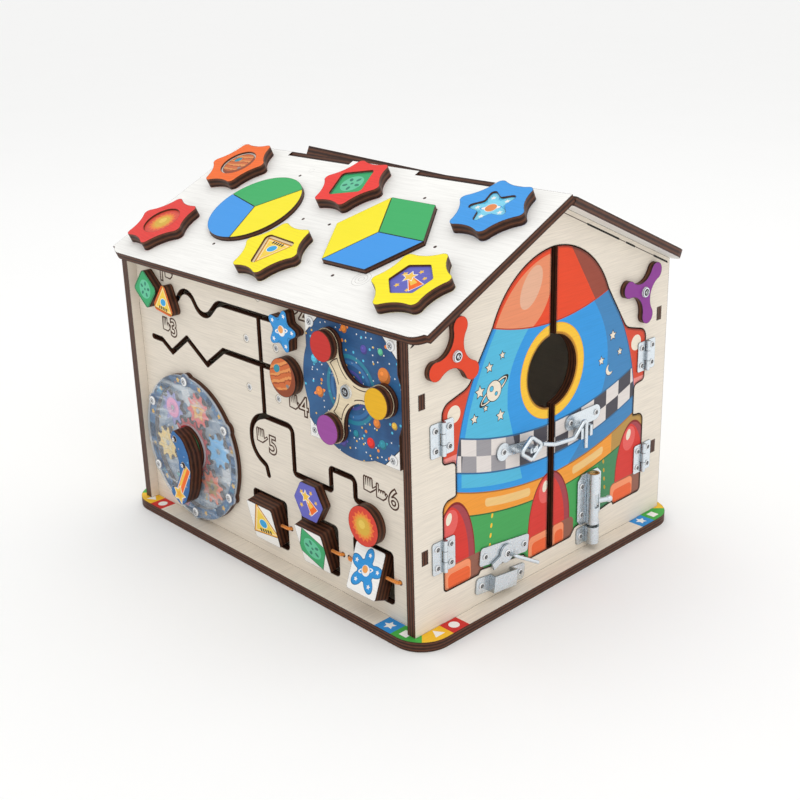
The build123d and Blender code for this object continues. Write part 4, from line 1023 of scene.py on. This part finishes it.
def dress_maze_pieces():
    sliders = (("rhombus_slider", rhombus_print, 16, 5, RHOMBUS_GREEN),
               ("rocket_slider", rocket_print, 16, -7, BLOCK_ORANGE),
               ("star_slider", star_print, 17, 75, STAR_BLUE),
               ("planet_slider", planet_print, 15.2, 20, "cf6a34"),
               ("comet_slider", comet_print, 15.5, 0, COMET_VIOLET),
               ("sun_slider", sun_print, 16, 0, "d6402f"))
    for node, drawing, size, turn, paper in sliders:
        x, y = slider_place(node)
        shift_x, shift_y = star_slider_shift if node == "star_slider" else (0, 0)
        face = maze_face.turned(x + shift_x, y + shift_y)
        print_node(node, face, centred(drawing, size, turn, paper), slider_layer)
    tiles = (("rocket_tile", 12, rocket_print, 21, 8), ("square_tile", 14, rhombus_print, 19, 20),
             ("star_tile", -20, star_print, 17, 84))
    for node, tilt, drawing, size, turn in tiles:
        face = maze_face.tipped_at(pivot(node + "_turn"), tilt)
        print_node(node, face, centred(drawing, size, turn, WHITE), tile_layer)
    coat("elastic_cord", elastic("orange_elastic", maze_face))


def slider_place(node):
    """The middle of a slider's stem button, which is round, on the maze wall."""
    button = [point for point in corners(node) if maze_face.flat(point).z < button_level]
    low, high = extent(button, maze_face)
    return (low[0] + high[0]) / 2, (low[1] + high[1]) / 2


def dress_roof_pieces():
    blocks = (("orange_block", 5, BLOCK_ORANGE, planet_print, 15.2, 0, "d9d3cc"),
              ("red_block", -2, BLOCK_RED, rhombus_print, 20, 67, RHOMBUS_PALE),
              ("blue_block", -6, BLOCK_BLUE, pale_star_print, 19, 56, STAR_PALE),
              ("scarlet_block", -11, BLOCK_SCARLET, sun_print, 17, 0, "dd4f3e"),
              ("amber_block", -5, BLOCK_YELLOW, rocket_print, 19, 180, "f3d9ae"),
              ("yellow_block", 16, BLOCK_YELLOW, comet_print, 17, 0, COMET_VIOLET))
    for node, block_turn, tone, drawing, size, turn, field in blocks:
        spot = left_slope.flat(pivot(node + "_turn"))
        face = left_slope.turned(spot.x, spot.y, block_turn)
        art = centred(drawing, size, turn, field, sunk=True)
        top = extent(corners(node), face)[1][2]
        paint_node(node, face, tone, art, top, block_layer)
    for colour, tone in (("green", PUZZLE_GREEN), ("blue", PUZZLE_BLUE), ("yellow", PUZZLE_YELLOW)):
        for form in ("_sector", "_rhombus"):
            paint_node(colour + form, left_slope, tone, ply=roof_layer, sheen=0.42)


# -------- new pieces
def linked(name, data):
    """A new object in the scene."""
    thing = bpy.data.objects.new(name, data)
    bpy.context.scene.collection.objects.link(thing)
    return thing


def mesh_of(name, shape):
    mesh = bpy.data.meshes.new(name)
    shape.to_mesh(mesh)
    shape.free()
    return mesh


def lathe(profile, sides):
    """A round solid from its outline's (radius, height) points, from the foot's middle to the top's."""
    shape = bmesh.new()
    rings = []
    for radius, height in profile:
        if radius == 0:
            rings.append([shape.verts.new((0, 0, height))] * sides)
            continue
        angles = [2 * math.pi * k / sides for k in range(sides)]
        rings.append([shape.verts.new((radius * math.cos(angle), radius * math.sin(angle), height))
                      for angle in angles])
    for lower, upper in zip(rings, rings[1:]):
        for k in range(sides):
            along = (k + 1) % sides
            distinct = list(dict.fromkeys([lower[k], lower[along], upper[along], upper[k]]))
            if len(distinct) > 2:
                shape.faces.new(distinct)
    bmesh.ops.recalc_face_normals(shape, faces=shape.faces)
    return shape


def cross_cutter():
    """The tip of a cross driver in a head of radius 1 and height 1."""
    shape = bmesh.new()
    for turn in (0, 90):
        made = bmesh.ops.create_cube(shape, size=1)["verts"]
        for vertex in made:
            narrow = 0.55 if vertex.co.z < 0 else 1
            x, y, z = vertex.co
            vertex.co = Vector((x * 1.02 * narrow, y * 0.26 * narrow, z + 0.9))
        turned = Matrix.Rotation(math.radians(turn), 3, "Z")
        bmesh.ops.rotate(shape, verts=made, cent=(0, 0, 0), matrix=turned)
    return shape


def screw_head_mesh():
    """A pan head of radius 1 and height 1 with a cross recess, whose sides have the second material, which
    carries painted shade.
    """
    dome = ((0, 0), (0.96, 0), (1, 0.1), (0.97, 0.38), (0.86, 0.64), (0.66, 0.84), (0.38, 0.96), (0, 1))
    sides, reach, foot, top = 28, 0.55, 0.15, 0.93
    head = linked("screw_head", mesh_of("screw_head", lathe(dome, sides)))
    cutter = linked("screw_cutter", mesh_of("screw_cutter", cross_cutter()))
    cut = head.modifiers.new("recess", "BOOLEAN")
    cut.operation = "DIFFERENCE"
    cut.solver = "EXACT"
    cut.use_self = True
    cut.object = cutter
    seen = bpy.context.evaluated_depsgraph_get()
    result = bpy.data.meshes.new_from_object(head.evaluated_get(seen))
    for side in result.polygons:
        x, y, z = side.center
        side.material_index = 1 if math.hypot(x, y) < reach and foot < z < top else 0
    bpy.data.objects.remove(head)
    bpy.data.objects.remove(cutter)
    return result


def islands(node):
    """The separate solids of a node, each as the list of its corners. Corners in one place are one corner."""
    mesh = nodes[node].data
    keys = [tuple(round(c / MM / corner_step) for c in vertex.co) for vertex in mesh.vertices]
    leader = {key: key for key in keys}

    def find(key):
        while leader[key] != key:
            leader[key] = leader[leader[key]]
            key = leader[key]
        return key

    for edge in mesh.edges:
        leader[find(keys[edge.vertices[0]])] = find(keys[edge.vertices[1]])
    groups = {}
    for key, vertex in zip(keys, mesh.vertices):
        groups.setdefault(find(key), []).append(vertex.co.copy())
    return list(groups.values())


def upright_islands(node, face):
    """Middle, radius and top of each round solid of a node that stands straight out of a face."""
    found = []
    for points in islands(node):
        low, high = extent(points, face)
        width, height, depth = (top - foot for top, foot in zip(high, low))
        if abs(width - height) < round_error and depth > least_depth and high[2] < farthest_top:
            found.append(((high[0] + low[0]) / 2, (high[1] + low[1]) / 2, width / 2, high[2]))
    return found


def place_heads(name, spots, body, material, recess, head):
    """Copies of one screw head joined as one piece. A spot is (face, x, y, radius, foot, top)."""
    shape = bmesh.new()
    for face, x, y, radius, low, high in spots:
        matrix = face.turned(x, y, chance.uniform(0, 90), low).matrix()
        size = Matrix.Diagonal((radius * MM, radius * MM, (high - low) * MM, 1))
        copy = head.copy()
        copy.transform(matrix @ size)
        shape.from_mesh(copy)
        bpy.data.meshes.remove(copy)
    piece = linked(name, mesh_of(name, shape))
    piece.data.materials.append(material)
    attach(piece, body)
    piece.data.materials.append(recess)
    return piece


def screw_spots(node, face):
    heads = upright_islands(node, face)
    return [(face, x, y, radius, top - screw_height, top) for x, y, radius, top in heads]


def add_screws():
    head = screw_head_mesh()
    # Painted highlight: heads and caps get a near-white, barely metallic colour, partly the zinc's pale tone
    # and partly standing in for their shine.
    bright = steel("bright_zinc_highlight", gable_face, "fafbfc", 0.3, 0.15)
    pale = steel("pale_zinc_highlight", maze_face, "fafafa", 0.3, 0.15)
    # Painted shade: the cross recesses get a darker steel, standing in for the shade that falls in them.
    pale_recess_shade = steel("pale_recess_shade", maze_face, "b4b6b9", 0.4, 0.1)
    recess = steel("screw_recess_shade", gable_face, "34312f", 0.45, 0.3)
    for body in ("house", "left_door", "right_door"):
        node = body + "_screws"
        spots = screw_spots(node, gable_face)
        piece = place_heads(node + "_heads", spots, body, bright, recess, head)
        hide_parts(node)
    spots = screw_spots("house_screws", maze_face)
    place_heads("maze_screw_heads", spots, "house", pale, pale_recess_shade, head)
    caps = []
    capped = ((gable_face, "orange_knob_turn", 4.4, 2.2), (gable_face, "purple_knob_turn", 4.4, 2.2),
              (maze_face, "spinner_turn", 5.4, 2.6))
    for face, joint, radius, rise in capped:
        spot = face.flat(pivot(joint))
        pins = upright_islands("pivot_pins", face)
        top = max(high for x, y, _, high in pins if math.hypot(x - spot.x, y - spot.y) < 1)
        caps.append((face, spot.x, spot.y, radius, top - rise + cap_margin, top + cap_margin))
    place_heads("pivot_caps", caps, "house", bright, recess, head)
    bpy.data.meshes.remove(head)


def burnt_piece(name, curve, place, material):
    """A curve as a round line sunk in the maze wall."""
    curve.bevel_depth = engraved_line * MM
    curve.bevel_resolution = 3
    curve.materials.append(material)
    piece = linked(name, curve)
    piece.matrix_world = place
    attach(piece, "house")


def engraved(name, points, material):
    """A closed burnt line on the maze wall through points given as (x, y)."""
    curve = bpy.data.curves.new(name, "CURVE")
    curve.dimensions = "3D"
    spline = curve.splines.new("POLY")
    spline.points.add(len(points) - 1)
    for point, (x, y) in zip(spline.points, points):
        point.co = (*maze_face.at(x, y, engraved_level), 1)
    spline.use_cyclic_u = True
    burnt_piece(name, curve, Matrix(), material)


def digit(name, text, x, y, material):
    curve = bpy.data.curves.new(name, "FONT")
    curve.body = text
    curve.size = digit_size * MM
    curve.align_x = "CENTER"
    curve.align_y = "CENTER"
    curve.fill_mode = "NONE"
    curve.offset = digit_spread * MM
    burnt_piece(name, curve, maze_face.turned(x, y, 0, engraved_level).matrix(), material)


def hand_outline(x, y, raised):
    """The outline of a palm with four fingers and a thumb, some of them raised."""
    width, palm, finger, knuckle = 2.3, 3.4, 5.4, 0.9
    points = [(x - 2 * width, y - palm), (x - 2 * width, y + palm * 0.2)]
    for k in range(4):
        left = x - 2 * width + k * width
        top = y + palm * 0.4 + (finger if k < raised else knuckle)
        points += [around(left + width / 2, top, 0.48 * width, angle) for angle in (180, 135, 90, 45, 0)]
        points.append((left + width, y + palm * 0.35))
    thumb = 3.6 if raised > 4 else 1.2
    side = x + 2 * width
    return points + [(side + 0.4, y + 0.2), (side + thumb, y + 2.4), (side + thumb + 1.3, y + 1.2),
                     (side + 0.6, y - palm * 0.6), (x + width, y - palm * 1.2)]


def add_engravings():
    soot = burnt_line("engraved_soot", maze_face)
    marks = (("1", -129.3, 219.5, ((-119.1, 219.9, 1),)), ("2", 57.5, 221.5, ((46, 222, 2),)),
             ("3", -118.2, 171.5, ((-129.6, 172, 3),)), ("4", 52.6, 144.4, ((40.1, 144.6, 4),)),
             ("5", 10.3, 100.3, ((-5, 104, 5),)),
             ("6", 149.2, 98.5, ((122.4, 101, 5), (136, 99, 1))))
    for text, x, y, hands in marks:
        digit("digit_" + text, text, x, y, soot)
        for k, (hand_x, hand_y, raised) in enumerate(hands):
            engraved(f"hand_{text}_{k + 1}", hand_outline(hand_x, hand_y, raised), soot)


# -------- camera, floor and lights
def add_camera():
    camera = linked("camera", bpy.data.cameras.new("camera"))
    camera.location = camera_place
    camera.rotation_euler = [math.radians(angle) for angle in camera_turn]
    camera.data.lens = camera_lens
    camera.data.shift_x, camera.data.shift_y = camera_shift
    camera.data.clip_start, camera.data.clip_end = camera_clips
    bpy.context.scene.camera = camera


def add_floor():
    shape = bmesh.new()
    bmesh.ops.create_grid(shape, x_segments=2, y_segments=2, size=floor_half)
    ground = linked("floor", mesh_of("floor", shape))
    ground.data.materials.append(pale_floor())
    ground.location.z = -floor_drop


def add_lamp(name, place, size, power):
    light = bpy.data.lights.new(name, "AREA")
    light.shape = "DISK"
    light.size = size
    light.energy = power
    lamp = linked(name, light)
    lamp.location = place
    lamp.rotation_euler = (Vector(lamp_target) - Vector(place)).to_track_quat("-Z", "Y").to_euler()


def add_lights():
    world = bpy.data.worlds.new("studio")
    world.use_nodes = True
    background = world.node_tree.nodes["Background"]
    background.inputs["Color"].default_value = (1, 1, 1, 1)
    background.inputs["Strength"].default_value = world_strength
    bpy.context.scene.world = world
    for lamp in lamps:
        add_lamp(*lamp)
    bpy.context.scene.view_settings.view_transform = "Standard"


for step in (dress_boards, dress_hardware, dress_knobs_and_spinner, dress_gear_box, dress_maze_pieces,
             dress_roof_pieces, add_screws, add_engravings, add_camera, add_floor, add_lights):
    step()
